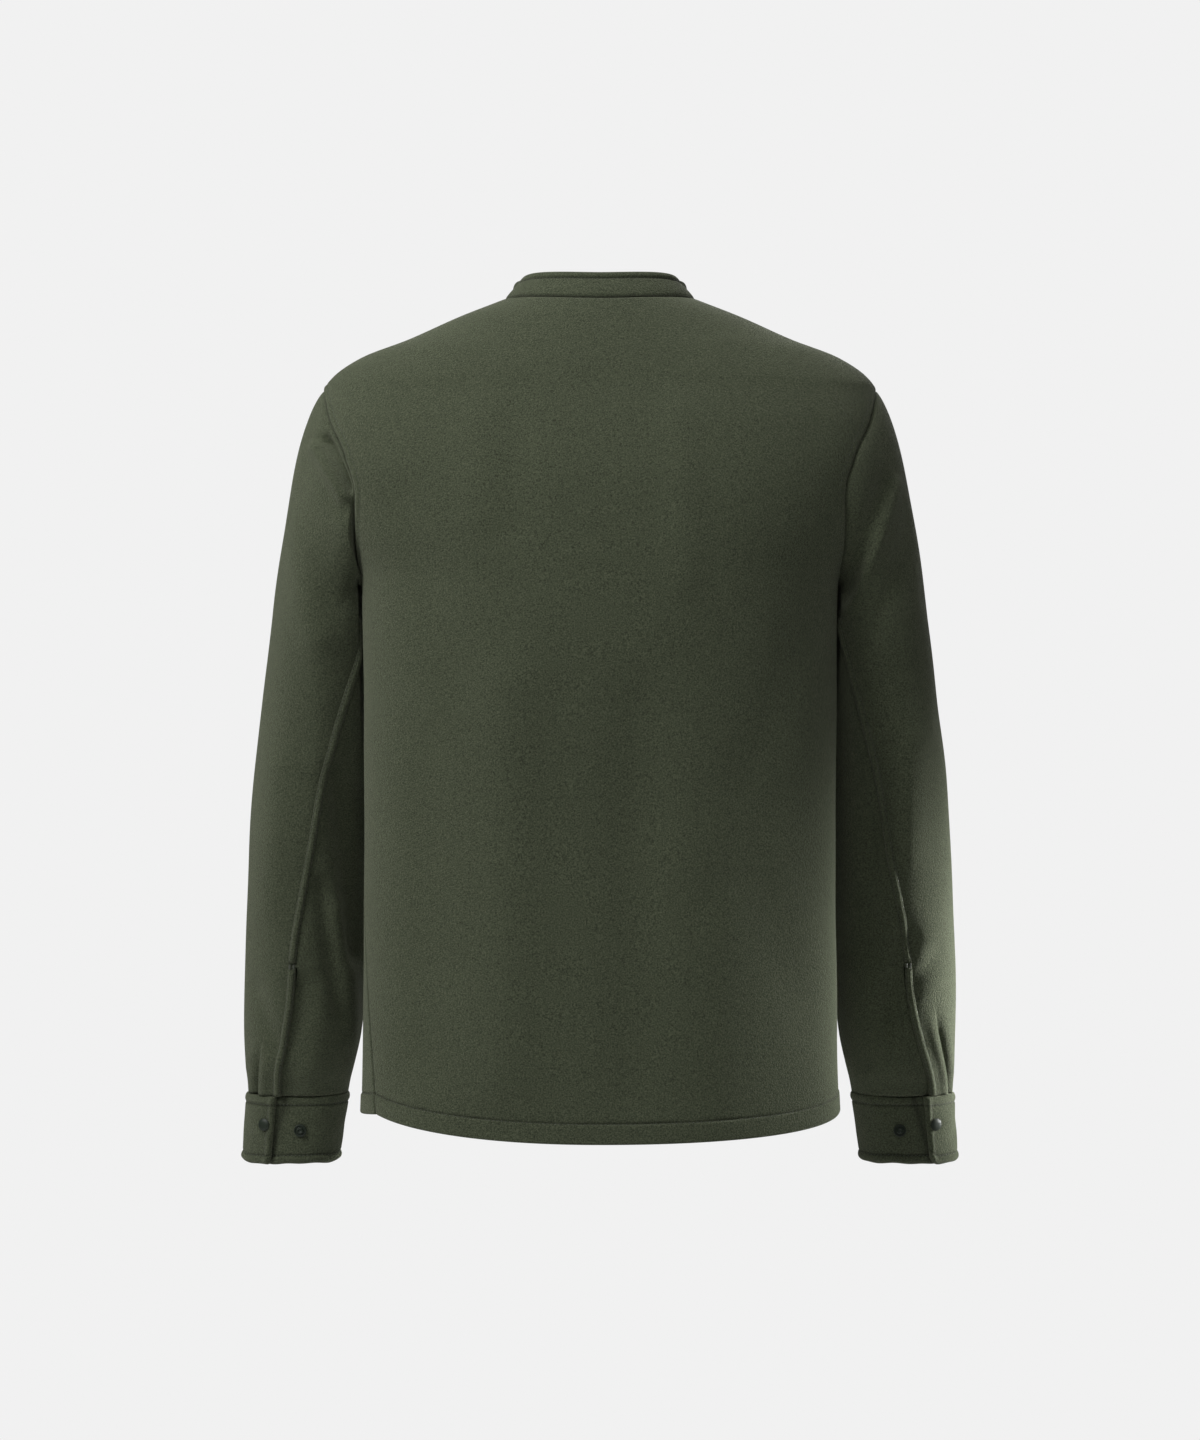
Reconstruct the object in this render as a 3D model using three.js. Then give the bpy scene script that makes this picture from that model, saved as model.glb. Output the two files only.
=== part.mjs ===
import * as THREE from 'three';

// Fleece jacket, filled out with no wearer. Millimetres, +Z up, the front faces -Y.
// The origin is the midpoint between the two side neck points.

// Driving dimensions
const clothThickness = 2.2;
const bandThickness = 4.0;
const stripThickness = 1.6;
const seamGap = 0.4;
const trimGap = 0.3;
const bodyClearance = 3.5;
const overlapHalf = 15;
const overlapLift = 3.0;
const hemLift = 1.6;
const collarBackHeight = 23;
const collarSideHeight = 18.5;
const cuffTop = -686;
const cuffHeight = 60;
const cuffOverlap = 28;
const cuffTurn = 4;
const slitTop = -570;
const slitExtension = 10;
const slitDrop = 3.2;
const pleatDistance = 26;
const pleatDepth = 6;
const capDiameter = 11.5;
const studDiameter = 11.0;
const clothColor = 0x454a3b;
const bandColor = 0x3f4436;
const snapColor = 0x2b3227;

// Body sections from hem to neck: half width, depth behind and before the middle line
const bodyRings = [
  { z: -710, half: 203, back: 104, front: 151, mid: 25, power: 2.3 },
  { z: -616, half: 200, back: 100, front: 149, mid: 25, power: 2.3 },
  { z: -440, half: 199, back: 97, front: 153, mid: 25, power: 2.35 },
  { z: -300, half: 200, back: 102, front: 161, mid: 25, power: 2.35 },
  { z: -245, half: 201, back: 105, front: 158, mid: 22, power: 2.35 },
  { z: -200, half: 220, back: 107, front: 149, mid: 18, power: 2.4 },
  { z: -165, half: 231, back: 106, front: 137, mid: 15, power: 2.45 },
  { z: -140, half: 238, back: 105, front: 124, mid: 11, power: 2.45 },
  { z: -110, half: 240, back: 101, front: 109, mid: 6, power: 2.4 },
  { z: -76, half: 235, back: 97, front: 84, mid: 0, power: 2.2 },
  { z: -66, half: 228, back: 93, front: 76, mid: 0, power: 2.1 },
  { z: -50, half: 205, back: 86, front: 65, mid: 0, power: 2.0 },
  { z: -35, half: 166, back: 80, front: 56, mid: 0, power: 2.0 },
  { z: -15, half: 121, back: 70, front: 48, mid: 0, power: 2.0 },
  { z: 0, half: 82, back: 62, front: 42, mid: 0, power: 2.0 },
  { z: 12, half: 52, back: 55, front: 38, mid: 0, power: 2.0 },
];

// Depth position of the side seams below the armholes, and of the armhole and shoulder edges
const sideEdges = [
  { z: -710, left: 77, right: 12 },
  { z: -600, left: 58, right: 11 },
  { z: -450, left: 30, right: 10 },
  { z: -300, left: 14, right: 9 },
  { z: -245, left: 8, right: 8 },
];
const armholeEdges = [
  { z: -245, back: 8, front: 8 },
  { z: -240, back: 28, front: -14 },
  { z: -225, back: 50, front: -38 },
  { z: -200, back: 68, front: -58 },
  { z: -165, back: 76, front: -68 },
  { z: -140, back: 70, front: -59 },
  { z: -110, back: 50, front: -44 },
  { z: -90, back: 30, front: -27 },
  { z: -80, back: 12, front: -12 },
  { z: -76, back: 0, front: 0 },
  { z: 12, back: 0, front: 0 },
];
const armholeBottom = -245;
const shoulderTip = -76;
const armholeCentre = new THREE.Vector3(225, 0, -160);

// Heights of the panel rows at the side edge, at the centre back and at the centre front,
// with how far the outer and inner faces stand off the body surface
const hemRows = [
  { edge: -685, back: -702, front: -695, out: -0.6, in: 2.6 },
  { edge: -682, back: -699, front: -692, out: 0.9, in: 3.0 },
  { edge: -668.5, back: -685.5, front: -678.5, out: 0.9, in: 3.0 },
  { edge: -666.5, back: -683.5, front: -676.5, out: 0, in: clothThickness },
];
const lowerRowCount = 9;
const upperRows = [
  { edge: -262, back: -270, front: -282 },
  { edge: -245, back: -250, front: -264 },
  { edge: -240, back: -232, front: -250 },
  { edge: -228, back: -214, front: -236 },
  { edge: -210, back: -196, front: -222 },
  { edge: -185, back: -178, front: -206 },
  { edge: -158, back: -160, front: -190 },
  { edge: -132, back: -143, front: -176 },
  { edge: -110, back: -128, front: -164 },
  { edge: -93, back: -115, front: -155 },
  { edge: -82, back: -105, front: -148 },
  { edge: -76, back: -96, front: -142 },
  { edge: -66, back: -84, front: -132 },
  { edge: -50, back: -66, front: -118 },
  { edge: -35, back: -48, front: -104 },
  { edge: -22, back: -34, front: -93 },
  { edge: -11, back: -22, front: -83.5 },
  { edge: -4, back: -12.5, front: -77 },
  { edge: 0, back: -6.5, front: -72 },
];

// Left sleeve sections; the right sleeve is the mirror image with its own folds
const sleeveRings = [
  { z: -690, inner: 223, outer: 310, depth: 36, mid: -80, seam: 74.5 },
  { z: -676, inner: 220.5, outer: 310.8, depth: 40, mid: -79, seam: 75 },
  { z: -661, inner: 216.7, outer: 312.4, depth: 46, mid: -77.5, seam: 76 },
  { z: -633, inner: 210.6, outer: 312.8, depth: 51, mid: -75, seam: 78 },
  { z: -604, inner: 207, outer: 312.5, depth: 54, mid: -72, seam: 81 },
  { z: -550, inner: 203, outer: 311, depth: 58, mid: -67, seam: 87 },
  { z: -480, inner: 199, outer: 307, depth: 64, mid: -60, seam: 98 },
  { z: -410, inner: 196, outer: 302, depth: 68, mid: -52, seam: 108 },
  { z: -340, inner: 192, outer: 292.6, depth: 74, mid: -42, seam: 121.5 },
  { z: -271, inner: 188, outer: 282.8, depth: 79, mid: -32, seam: 138 },
];
const sleeveTopRing = -271;
const capSteps = [0, 0.06, 0.16, 0.3, 0.46, 0.64, 0.82];
const sleeveLevels = [
  -271, -302, -342, -382, -422, -462, -500, -536, -566,
  -574, -590, -612, -634, -654, -671, -685.6,
];
const seamColumns = [0, 3.4, 6.8, 12, 18, 22.5, pleatDistance, 29.5];
const stripColumns = 3;

// Left cuff sections
const cuffRings = [
  { z: -750, x: 273.8, half: 42, depth: 34.5, mid: -85 },
  { z: -686, x: 266.8, half: 44.5, depth: 36.5, mid: -80 },
];
const flapAngle = 74;

// Folds as soft ridges (depth above 0) and troughs (depth below 0) along a line from
// x1,z1 to x2,z2; face 1 is the back and face -1 the front
const bodyFolds = [
  { face: 1, x1: 150, z1: -165, x2: 105, z2: -330, width: 22, depth: -3 },
  { face: 1, x1: -152, z1: -170, x2: -112, z2: -320, width: 22, depth: -3 },
  { face: 1, x1: 62, z1: -330, x2: 82, z2: -640, width: 34, depth: 3.5 },
  { face: 1, x1: -8, z1: -380, x2: -2, z2: -650, width: 30, depth: -3 },
  { face: 1, x1: -74, z1: -330, x2: -68, z2: -620, width: 30, depth: 2.5 },
  { face: 1, x1: 132, z1: -360, x2: 138, z2: -640, width: 24, depth: -3 },
  { face: 1, x1: -128, z1: -400, x2: -124, z2: -640, width: 22, depth: -3 },
  { face: 1, x1: -168, z1: -330, x2: -172, z2: -600, width: 22, depth: 2.5 },
  { face: -1, x1: 150, z1: -170, x2: 100, z2: -340, width: 24, depth: -3.5 },
  { face: -1, x1: -148, z1: -165, x2: -104, z2: -330, width: 24, depth: -3 },
  { face: -1, x1: 92, z1: -340, x2: 86, z2: -640, width: 32, depth: 3.5 },
  { face: -1, x1: -88, z1: -360, x2: -96, z2: -630, width: 32, depth: 3 },
  { face: -1, x1: 140, z1: -380, x2: 142, z2: -620, width: 24, depth: -3 },
  { face: -1, x1: -142, z1: -350, x2: -138, z2: -640, width: 24, depth: -2.5 },
];
const leftSleeveFolds = [
  { face: 1, x1: 222, z1: -128, x2: 210, z2: -190, width: 10, depth: -6 },
  { face: 1, x1: 262, z1: -150, x2: 232, z2: -262, width: 14, depth: 4 },
  { face: 1, x1: 218, z1: -390, x2: 224, z2: -610, width: 13, depth: -5 },
  { face: 1, x1: 276, z1: -400, x2: 286, z2: -520, width: 16, depth: 3 },
  { face: 1, x1: 300, z1: -590, x2: 268, z2: -652, width: 10, depth: -3 },
  { face: -1, x1: 250, z1: -170, x2: 222, z2: -262, width: 15, depth: -5 },
  { face: -1, x1: 262, z1: -360, x2: 240, z2: -470, width: 17, depth: 4 },
  { face: -1, x1: 290, z1: -430, x2: 232, z2: -500, width: 12, depth: -5 },
  { face: -1, x1: 230, z1: -560, x2: 282, z2: -640, width: 13, depth: -4 },
];
const rightSleeveFolds = [
  { face: 1, x1: 254, z1: -166, x2: 216, z2: -262, width: 12, depth: 5 },
  { face: 1, x1: 232, z1: -150, x2: 212, z2: -200, width: 9, depth: -5 },
  { face: 1, x1: 263, z1: -350, x2: 263, z2: -470, width: 16, depth: 4 },
  { face: 1, x1: 294, z1: -565, x2: 228, z2: -652, width: 14, depth: -6 },
  { face: 1, x1: 230, z1: -420, x2: 236, z2: -560, width: 13, depth: -4 },
  { face: -1, x1: 254, z1: -160, x2: 226, z2: -255, width: 14, depth: -5 },
  { face: -1, x1: 284, z1: -380, x2: 236, z2: -440, width: 13, depth: -5 },
  { face: -1, x1: 244, z1: -500, x2: 268, z2: -600, width: 18, depth: 4 },
  { face: -1, x1: 284, z1: -600, x2: 236, z2: -656, width: 13, depth: -4 },
];

// Snap positions: heights down the placket, and the cuff snaps as a distance round the cuff
const placketSnapHeights = [-98, -206, -314, -422, -530, -636];
const cuffCapHeight = -711;
const cuffStudHeight = -716;
const cuffCapDistance = 10;
const cuffStudDistance = -24;

// Limits a number to the range 0 to 1 and eases it at both ends
function ease(low, high, value) {
  const share = Math.min(1, Math.max(0, (value - low) / (high - low)));
  return share * share * (3 - 2 * share);
}

function mix(first, second, share) {
  return first + (second - first) * share;
}

function evenly(first, last, count) {
  return Array.from({ length: count + 1 }, (unused, step) => mix(first, last, step / count));
}

// Smooth curve through one column of a table: cubic pieces with harmonic-mean slopes,
// so the curve never swings past its own table values
function makeCurve(rows, value) {
  const knots = rows.map((row) => row.z);
  const values = rows.map((row) => row[value]);
  const rises = knots.slice(1).map((knot, i) => (values[i + 1] - values[i]) / (knot - knots[i]));
  const slopes = knots.map((knot, i) => {
    if (i === 0) {
      return rises[0];
    }
    if (i === knots.length - 1) {
      return rises[i - 1];
    }
    const before = rises[i - 1];
    const after = rises[i];
    return before * after <= 0 ? 0 : (2 * before * after) / (before + after);
  });
  return (z) => {
    const place = Math.min(knots[knots.length - 1], Math.max(knots[0], z));
    const found = knots.findIndex((knot, i) => i > 0 && place <= knot);
    const i = Math.max(1, found);
    const span = knots[i] - knots[i - 1];
    const t = (place - knots[i - 1]) / span;
    const rising = t * t * (3 - 2 * t);
    const startPull = t * (1 - t) * (1 - t) * span * slopes[i - 1];
    const endPull = t * t * (t - 1) * span * slopes[i];
    return values[i - 1] * (1 - rising) + values[i] * rising + startPull + endPull;
  };
}

function makeCurves(rows) {
  const names = Object.keys(rows[0]).filter((name) => name !== 'z');
  return Object.fromEntries(names.map((name) => [name, makeCurve(rows, name)]));
}

const body = makeCurves(bodyRings);
const sides = makeCurves(sideEdges);
const armholes = makeCurves(armholeEdges);
const sleeve = makeCurves(sleeveRings);
const cuff = makeCurves(cuffRings);

// Point of the body surface: a flattened oval at each height, angle 0 at the wearer's left
// and a quarter turn at the centre back
function bodyPoint(angle, z) {
  const bend = 2 / body.power(z);
  const cosine = Math.cos(angle);
  const sine = Math.sin(angle);
  const depth = sine > 0 ? body.back(z) : body.front(z);
  const x = body.half(z) * Math.sign(cosine) * Math.abs(cosine) ** bend;
  const y = body.mid(z) + depth * Math.sign(sine) * Math.abs(sine) ** bend;
  return new THREE.Vector3(x, y, z);
}

function bodyNormal(angle, z) {
  const around = bodyPoint(angle + 0.01, z).sub(bodyPoint(angle - 0.01, z));
  const upward = bodyPoint(angle, z + 1).sub(bodyPoint(angle, z - 1));
  return around.cross(upward).normalize();
}

// Angle on the left half of the body at which the surface has the given depth position
function angleAtDepth(y, z) {
  const away = y - body.mid(z);
  const depth = away > 0 ? body.back(z) : body.front(z);
  const share = Math.min(1, Math.abs(away) / depth);
  return Math.sign(away) * Math.asin(share ** (body.power(z) / 2));
}

// Angle of a panel edge: half a seam gap behind or before the seam line
function edgeAngleAt(z, side, face) {
  const line = side > 0 ? sides.left(z) : sides.right(z);
  const armhole = face > 0 ? armholes.back(z) : armholes.front(z);
  const seam = z > armholeBottom ? armhole : line;
  return angleAtDepth(seam + (face * seamGap) / 2, z);
}

// Angle from the side line at which the surface has the given distance from the centre
function angleAtWidth(x, z) {
  const share = Math.min(1, Math.abs(x) / body.half(z));
  const turn = Math.acos(share ** (body.power(z) / 2));
  return x < 0 ? Math.PI - turn : turn;
}

// Height of the folds at a place, faded where the surface turns away from their face
function foldHeight(folds, x, z, facing) {
  return folds.reduce((sum, fold) => {
    const alongX = fold.x2 - fold.x1;
    const alongZ = fold.z2 - fold.z1;
    const reach = ((x - fold.x1) * alongX + (z - fold.z1) * alongZ) / (alongX ** 2 + alongZ ** 2);
    const share = Math.min(1, Math.max(0, reach));
    const away = Math.hypot(x - fold.x1 - share * alongX, z - fold.z1 - share * alongZ);
    const bump = fold.depth * Math.exp(-((away / fold.width) ** 2));
    return sum + bump * ease(0.15, 0.6, fold.face * facing);
  }, 0);
}

// One panel place: surface point, normal and the two faces of the cloth
function panelPlace(angle, z, row, lift) {
  const point = bodyPoint(angle, z);
  const normal = bodyNormal(angle, z);
  const calm = ease(-60, -120, z) * ease(-700, -640, z);
  const fold = calm * foldHeight(bodyFolds, point.x, z, normal.y);
  const raised = fold + lift(point.x);
  const outer = point.clone().addScaledVector(normal, raised + (row.out ?? 0));
  const inner = point.clone().addScaledVector(normal, raised - (row.in ?? clothThickness));
  return { point, normal, outer, inner };
}

const lowerRows = evenly(-666.5, -262, lowerRowCount).slice(1, -1).map((edge) => {
  const share = (edge + 666.5) / (666.5 - 262);
  return { edge, back: edge - mix(17, 8, share), front: edge - mix(10, 20, share) };
});
const panelRows = [...hemRows, ...lowerRows, ...upperRows];

// Back panel: rows dip towards the centre, columns run from the right edge to the left edge
const backColumns = evenly(-1, 1, 22);
const backPlaces = panelRows.map((row) => backColumns.map((share) => {
  const across = Math.abs(share);
  const z = row.back + (row.edge - row.back) * across ** 1.7;
  const edgeAngle = edgeAngleAt(row.edge, Math.sign(share), 1);
  const edgeX = bodyPoint(edgeAngle, row.edge).x;
  const turning = mix(Math.PI / 2, edgeAngle, across);
  const widening = angleAtWidth(across * edgeX, z);
  const angle = mix(turning, widening, ease(-200, shoulderTip, row.edge));
  return panelPlace(share < 0 ? Math.PI - angle : angle, z, row, () => 0);
}));

// Front panel: four straight columns beside the centre line, then spread to the side edge;
// the left panel stands off the body surface near the centre so that it laps the right one
const centreColumns = [-overlapHalf, -5, 5, overlapHalf];
const spreadColumns = evenly(0, 1, 9).slice(1);
function frontPlaces(side) {
  return panelRows.map((row) => {
    const fullLift = side > 0 ? overlapLift + (row.out ? hemLift : 0) : 0;
    const lift = (x) => fullLift * (1 - ease(16, 40, x));
    const edgeAngle = edgeAngleAt(row.edge, side, -1);
    const edgeX = bodyPoint(edgeAngle, row.edge).x;
    const heightAt = (share) => row.front + (row.edge - row.front) * share ** 2.6;
    const place = (angle, z) => panelPlace(side > 0 ? angle : Math.PI - angle, z, row, lift);
    const centre = centreColumns.map((x) => {
      const z = heightAt(Math.abs(x) / edgeX);
      return place(-angleAtWidth(x, z), z);
    });
    const spread = spreadColumns.map((step) => {
      const share = mix(overlapHalf / edgeX, 1, step);
      const z = heightAt(share);
      const turning = mix(-angleAtWidth(overlapHalf, z), edgeAngle, step);
      const widening = -angleAtWidth(share * edgeX, z);
      const angle = mix(turning, widening, ease(-200, shoulderTip, row.edge));
      return place(angle, z);
    });
    return [...centre, ...spread];
  });
}
const leftPlaces = frontPlaces(1);
const rightPlaces = frontPlaces(-1);

// Closed solid between an outer and an inner grid of points. A joined row shares its first
// and last points, an open row ends in its own edge face.
function wallGeometry(outer, inner, joined = () => false) {
  const positions = [];
  const faces = [];
  const known = new Map();
  const lastRow = outer.length - 1;
  const lastColumn = outer[0].length - 1;
  const vertex = (layer, row, column) => {
    const own = column === lastColumn && joined(row) ? 0 : column;
    const key = `${layer} ${row} ${own}`;
    if (!known.has(key)) {
      const grid = layer === 'outer' ? outer : inner;
      known.set(key, positions.length / 3);
      positions.push(...grid[row][own].toArray());
    }
    return known.get(key);
  };
  const quad = (a, b, c, d, swap = false) => {
    faces.push(...(swap ? [a, b, d, b, c, d] : [a, b, c, a, c, d]));
  };
  for (let r = 0; r < lastRow; r += 1) {
    for (let c = 0; c < lastColumn; c += 1) {
      const oneWay = outer[r][c].distanceTo(outer[r + 1][c + 1]);
      const otherWay = outer[r][c + 1].distanceTo(outer[r + 1][c]);
      const out = [[r, c], [r, c + 1], [r + 1, c + 1], [r + 1, c]];
      quad(...out.map(([row, column]) => vertex('outer', row, column)), oneWay > otherWay);
      const back = [[r + 1, c], [r + 1, c + 1], [r, c + 1], [r, c]];
      quad(...back.map(([row, column]) => vertex('inner', row, column)), oneWay <= otherWay);
    }
    if (!joined(r) || !joined(r + 1)) {
      quad(vertex('outer', r, 0), vertex('outer', r + 1, 0), vertex('inner', r + 1, 0), vertex('inner', r, 0));
      quad(
        vertex('outer', r + 1, lastColumn),
        vertex('outer', r, lastColumn),
        vertex('inner', r, lastColumn),
        vertex('inner', r + 1, lastColumn),
      );
    }
  }
  for (let c = 0; c < lastColumn; c += 1) {
    quad(vertex('inner', 0, c), vertex('inner', 0, c + 1), vertex('outer', 0, c + 1), vertex('outer', 0, c));
    quad(
      vertex('outer', lastRow, c),
      vertex('outer', lastRow, c + 1),
      vertex('inner', lastRow, c + 1),
      vertex('inner', lastRow, c),
    );
  }
  return outwardGeometry(positions, faces);
}

// Makes the geometry and turns every face round if the solid came out inside out
function outwardGeometry(positions, faces) {
  let volume = 0;
  const at = (i) => new THREE.Vector3(positions[3 * i], positions[3 * i + 1], positions[3 * i + 2]);
  for (let i = 0; i < faces.length; i += 3) {
    volume += at(faces[i]).dot(at(faces[i + 1]).cross(at(faces[i + 2])));
  }
  const geometry = new THREE.BufferGeometry();
  geometry.setAttribute('position', new THREE.Float32BufferAttribute(positions, 3));
  geometry.setIndex(volume < 0 ? [...faces].reverse() : faces);
  geometry.computeVertexNormals();
  return geometry;
}

const jacket = new THREE.Group();
jacket.name = 'fleece_jacket';
function addPiece(name, geometry, color, metalness = 0) {
  const roughness = metalness > 0 ? 0.4 : 0.95;
  const material = new THREE.MeshStandardMaterial({ color, roughness, metalness });
  const mesh = new THREE.Mesh(geometry, material);
  mesh.name = name;
  jacket.add(mesh);
}

function addPanel(name, places) {
  const outer = places.map((row) => row.map((place) => place.outer));
  const inner = places.map((row) => row.map((place) => place.inner));
  addPiece(name, wallGeometry(outer, inner), clothColor);
}
addPanel('back', backPlaces);
addPanel('front_left', leftPlaces);
addPanel('front_right', rightPlaces);

// Thin strip laid on a grid of points, moved out along their normals
function stripGeometry(points, normals, thickness) {
  const moved = (away) => points.map((row, r) => row.map((point, c) => (
    point.clone().addScaledVector(normals[r][c], away)
  )));
  return wallGeometry(moved(trimGap + thickness), moved(trimGap));
}
const placketRows = leftPlaces.slice(1).map((row) => row.slice(0, centreColumns.length));
const placketPoints = placketRows.map((row) => row.map((place) => place.outer));
const placketNormals = placketRows.map((row) => row.map((place) => place.normal));
addPiece('front_placket', stripGeometry(placketPoints, placketNormals, stripThickness), clothColor);

// Collar: stands on the neck row all the way round, leaning inwards; its left end laps
// over the right end
const neckRow = panelRows.length - 1;
const neckPlaces = [
  ...leftPlaces[neckRow].slice(0, -1).map((place) => ({ ...place, part: 'left' })),
  ...[...backPlaces[neckRow]].reverse().map((place) => ({ ...place, part: 'back' })),
  ...[...rightPlaces[neckRow]].slice(0, -1).reverse().map((place) => ({ ...place, part: 'right' })),
];
const collarSteps = [
  { share: 0, round: 0 },
  { share: 0.3, round: 0 },
  { share: 0.65, round: 0 },
  { share: 0.94, round: 0 },
  { share: 1, round: 1.1 },
];
function collarPlace(place, step) {
  const level = new THREE.Vector3(place.normal.x, place.normal.y, 0).normalize();
  const frontLean = level.y > 0 ? 11 : 8;
  const lean = mix(frontLean, 17.5, level.x ** 2);
  const height = mix(collarBackHeight, collarSideHeight, level.x ** 2);
  const normal = new THREE.Vector3(level.x * height, level.y * height, lean).normalize();
  const lap = place.part === 'left' ? 5 * (1 - ease(16, 50, place.point.x)) : 0;
  const base = place.point.clone().addScaledVector(level, lap - lean * step.share);
  base.z = place.outer.z + seamGap + lap * 0.3 + height * step.share;
  const outer = base.clone().addScaledVector(normal, -step.round);
  const inner = base.clone().addScaledVector(normal, step.round - bandThickness);
  return { outer, inner, normal };
}
const collarPlaces = collarSteps.map((step) => neckPlaces.map((place) => collarPlace(place, step)));
addPanel('collar', collarPlaces);

// Positions measured along a line of places, with the normals blended in between
function makeTrack(places) {
  const lengths = [0];
  places.slice(1).forEach((place, i) => {
    lengths.push(lengths[i] + place.point.distanceTo(places[i].point));
  });
  return {
    lengths,
    total: lengths[lengths.length - 1],
    at: (distance) => {
      const found = lengths.findIndex((length, i) => i > 0 && distance <= length);
      const i = found < 0 ? lengths.length - 1 : found;
      const share = (distance - lengths[i - 1]) / (lengths[i] - lengths[i - 1]);
      const point = places[i - 1].point.clone().lerp(places[i].point, share);
      const normal = places[i - 1].normal.clone().lerp(places[i].normal, share).normalize();
      return { point, normal };
    },
  };
}

// Armhole line of one side, in left-side coordinates: from its lowest point up the back
// edge, over the shoulder tip and down the front edge
function armholeTrack(side) {
  const front = side > 0 ? leftPlaces : rightPlaces;
  const backEdge = side > 0 ? backColumns.length - 1 : 0;
  const frontEdge = front[0].length - 1;
  const mirror = (vector) => new THREE.Vector3(vector.x * side, vector.y, vector.z);
  const edgePlace = (place) => ({ point: mirror(place.outer), normal: mirror(place.normal) });
  const inside = panelRows.map((row, r) => r).filter((r) => (
    panelRows[r].edge >= armholeBottom && panelRows[r].edge <= shoulderTip
  ));
  const rising = inside.map((r) => edgePlace(backPlaces[r][backEdge]));
  const falling = [...inside].reverse().map((r) => edgePlace(front[r][frontEdge]));
  const track = makeTrack([...rising, ...falling]);
  return { ...track, tip: track.lengths[rising.length - 1] };
}

// Oval sleeve section measured along its edge from the seam line, back side first. The left
// arm's lower end is turned a little further back than the right one's.
function sleeveTrack(z, side) {
  const centre = (sleeve.inner(z) + sleeve.outer(z)) / 2;
  const half = (sleeve.outer(z) - sleeve.inner(z)) / 2;
  const seam = sleeve.seam(z) + side * cuffTurn * ease(-540, -680, z);
  return ovalTrack(z, centre, half, sleeve.mid(z), sleeve.depth(z), seam);
}

function ovalTrack(z, centre, half, mid, depth, startDegrees) {
  const places = evenly(20, -400, 140).map((degrees) => {
    const angle = THREE.MathUtils.degToRad(startDegrees + degrees);
    const point = new THREE.Vector3(centre + half * Math.cos(angle), mid + depth * Math.sin(angle), z);
    const normal = new THREE.Vector3(Math.cos(angle) / half, Math.sin(angle) / depth, 0).normalize();
    return { point, normal, degrees };
  });
  const track = makeTrack(places);
  const lengthAt = (degrees) => {
    const i = places.findIndex((place) => place.degrees <= degrees + 1e-6);
    return track.lengths[i];
  };
  const start = lengthAt(-1e-3 + 1e-3);
  return { total: lengthAt(-360) - start, at: (distance) => track.at(start + distance) };
}

// Distances of the sleeve columns round a section: close together beside the seam, then
// even to the outer line and even again to the seam
const outerLineShare = 0.355;
function sleeveColumns(total, outerLine, extension) {
  const lastSeam = seamColumns[seamColumns.length - 1];
  return [
    ...seamColumns,
    ...evenly(lastSeam, outerLine, 9).slice(1),
    ...evenly(outerLine, total - 30, 10).slice(1),
    total - 14,
    total - 4,
    total + extension,
  ];
}

// Moves a sleeve point straight away from the middle of the body until it is clear of it
function clearOfBody(point, clearance) {
  const { z } = point;
  const across = point.x / (body.half(z) + clearance);
  const depth = (point.y > body.mid(z) ? body.back(z) : body.front(z)) + clearance;
  const along = (point.y - body.mid(z)) / depth;
  const measure = Math.abs(across) ** body.power(z) + Math.abs(along) ** body.power(z);
  if (measure < 1) {
    const scale = measure ** (-1 / body.power(z));
    point.x *= scale;
    point.y = body.mid(z) + (point.y - body.mid(z)) * scale;
  }
}

// Point on a cubic curve with given ends and end pulls
function pulledCurve(start, end, startPull, endPull, t) {
  const rising = t * t * (3 - 2 * t);
  return start.clone().multiplyScalar(1 - rising)
    .addScaledVector(end, rising)
    .addScaledVector(startPull, t * (1 - t) * (1 - t))
    .addScaledVector(endPull, t * t * (t - 1));
}

// Sleeve cap: each column runs from the armhole edge to the top section of the arm
function capRows(side) {
  const armhole = armholeTrack(side);
  const ring = sleeveTrack(sleeveTopRing, side);
  const armholeDistances = sleeveColumns(armhole.total, armhole.tip, 0);
  const ringDistances = sleeveColumns(ring.total, ring.total * outerLineShare, 0);
  const columns = armholeDistances.map((distance, c) => {
    const { point, normal } = armhole.at(Math.min(armhole.total, distance));
    const toCentre = armholeCentre.clone().sub(point);
    const inward = toCentre.addScaledVector(normal, -toCentre.dot(normal)).normalize();
    const start = point.clone().addScaledVector(inward, seamGap + 0.1);
    const end = ring.at(ringDistances[c]).point;
    const reach = start.distanceTo(end);
    const low = 1 - ease(armholeBottom, -200, point.z);
    const startPull = normal.clone().multiplyScalar(mix(0.52, 0.9, low))
      .addScaledVector(inward, mix(0.8, 0.2, low))
      .multiplyScalar(mix(0.46 * reach, 20, low));
    const endPull = new THREE.Vector3(0.12, -0.12, -1).multiplyScalar(0.9 * reach);
    return { start, end, startPull, endPull, normal };
  });
  const rows = capSteps.map((step) => columns.map((column) => {
    const point = pulledCurve(column.start, column.end, column.startPull, column.endPull, step);
    if (point.z < armholeBottom + 6) {
      clearOfBody(point, bodyClearance * ease(0, 0.35, step));
    }
    return point;
  }));
  return { rows, edgeNormals: columns.map((column) => column.normal) };
}

// How far the free edge of the slit reaches under the seam edge at a height
function slitReach(z) {
  return mix(-1.2, slitExtension, ease(-574, -625, z));
}

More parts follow.
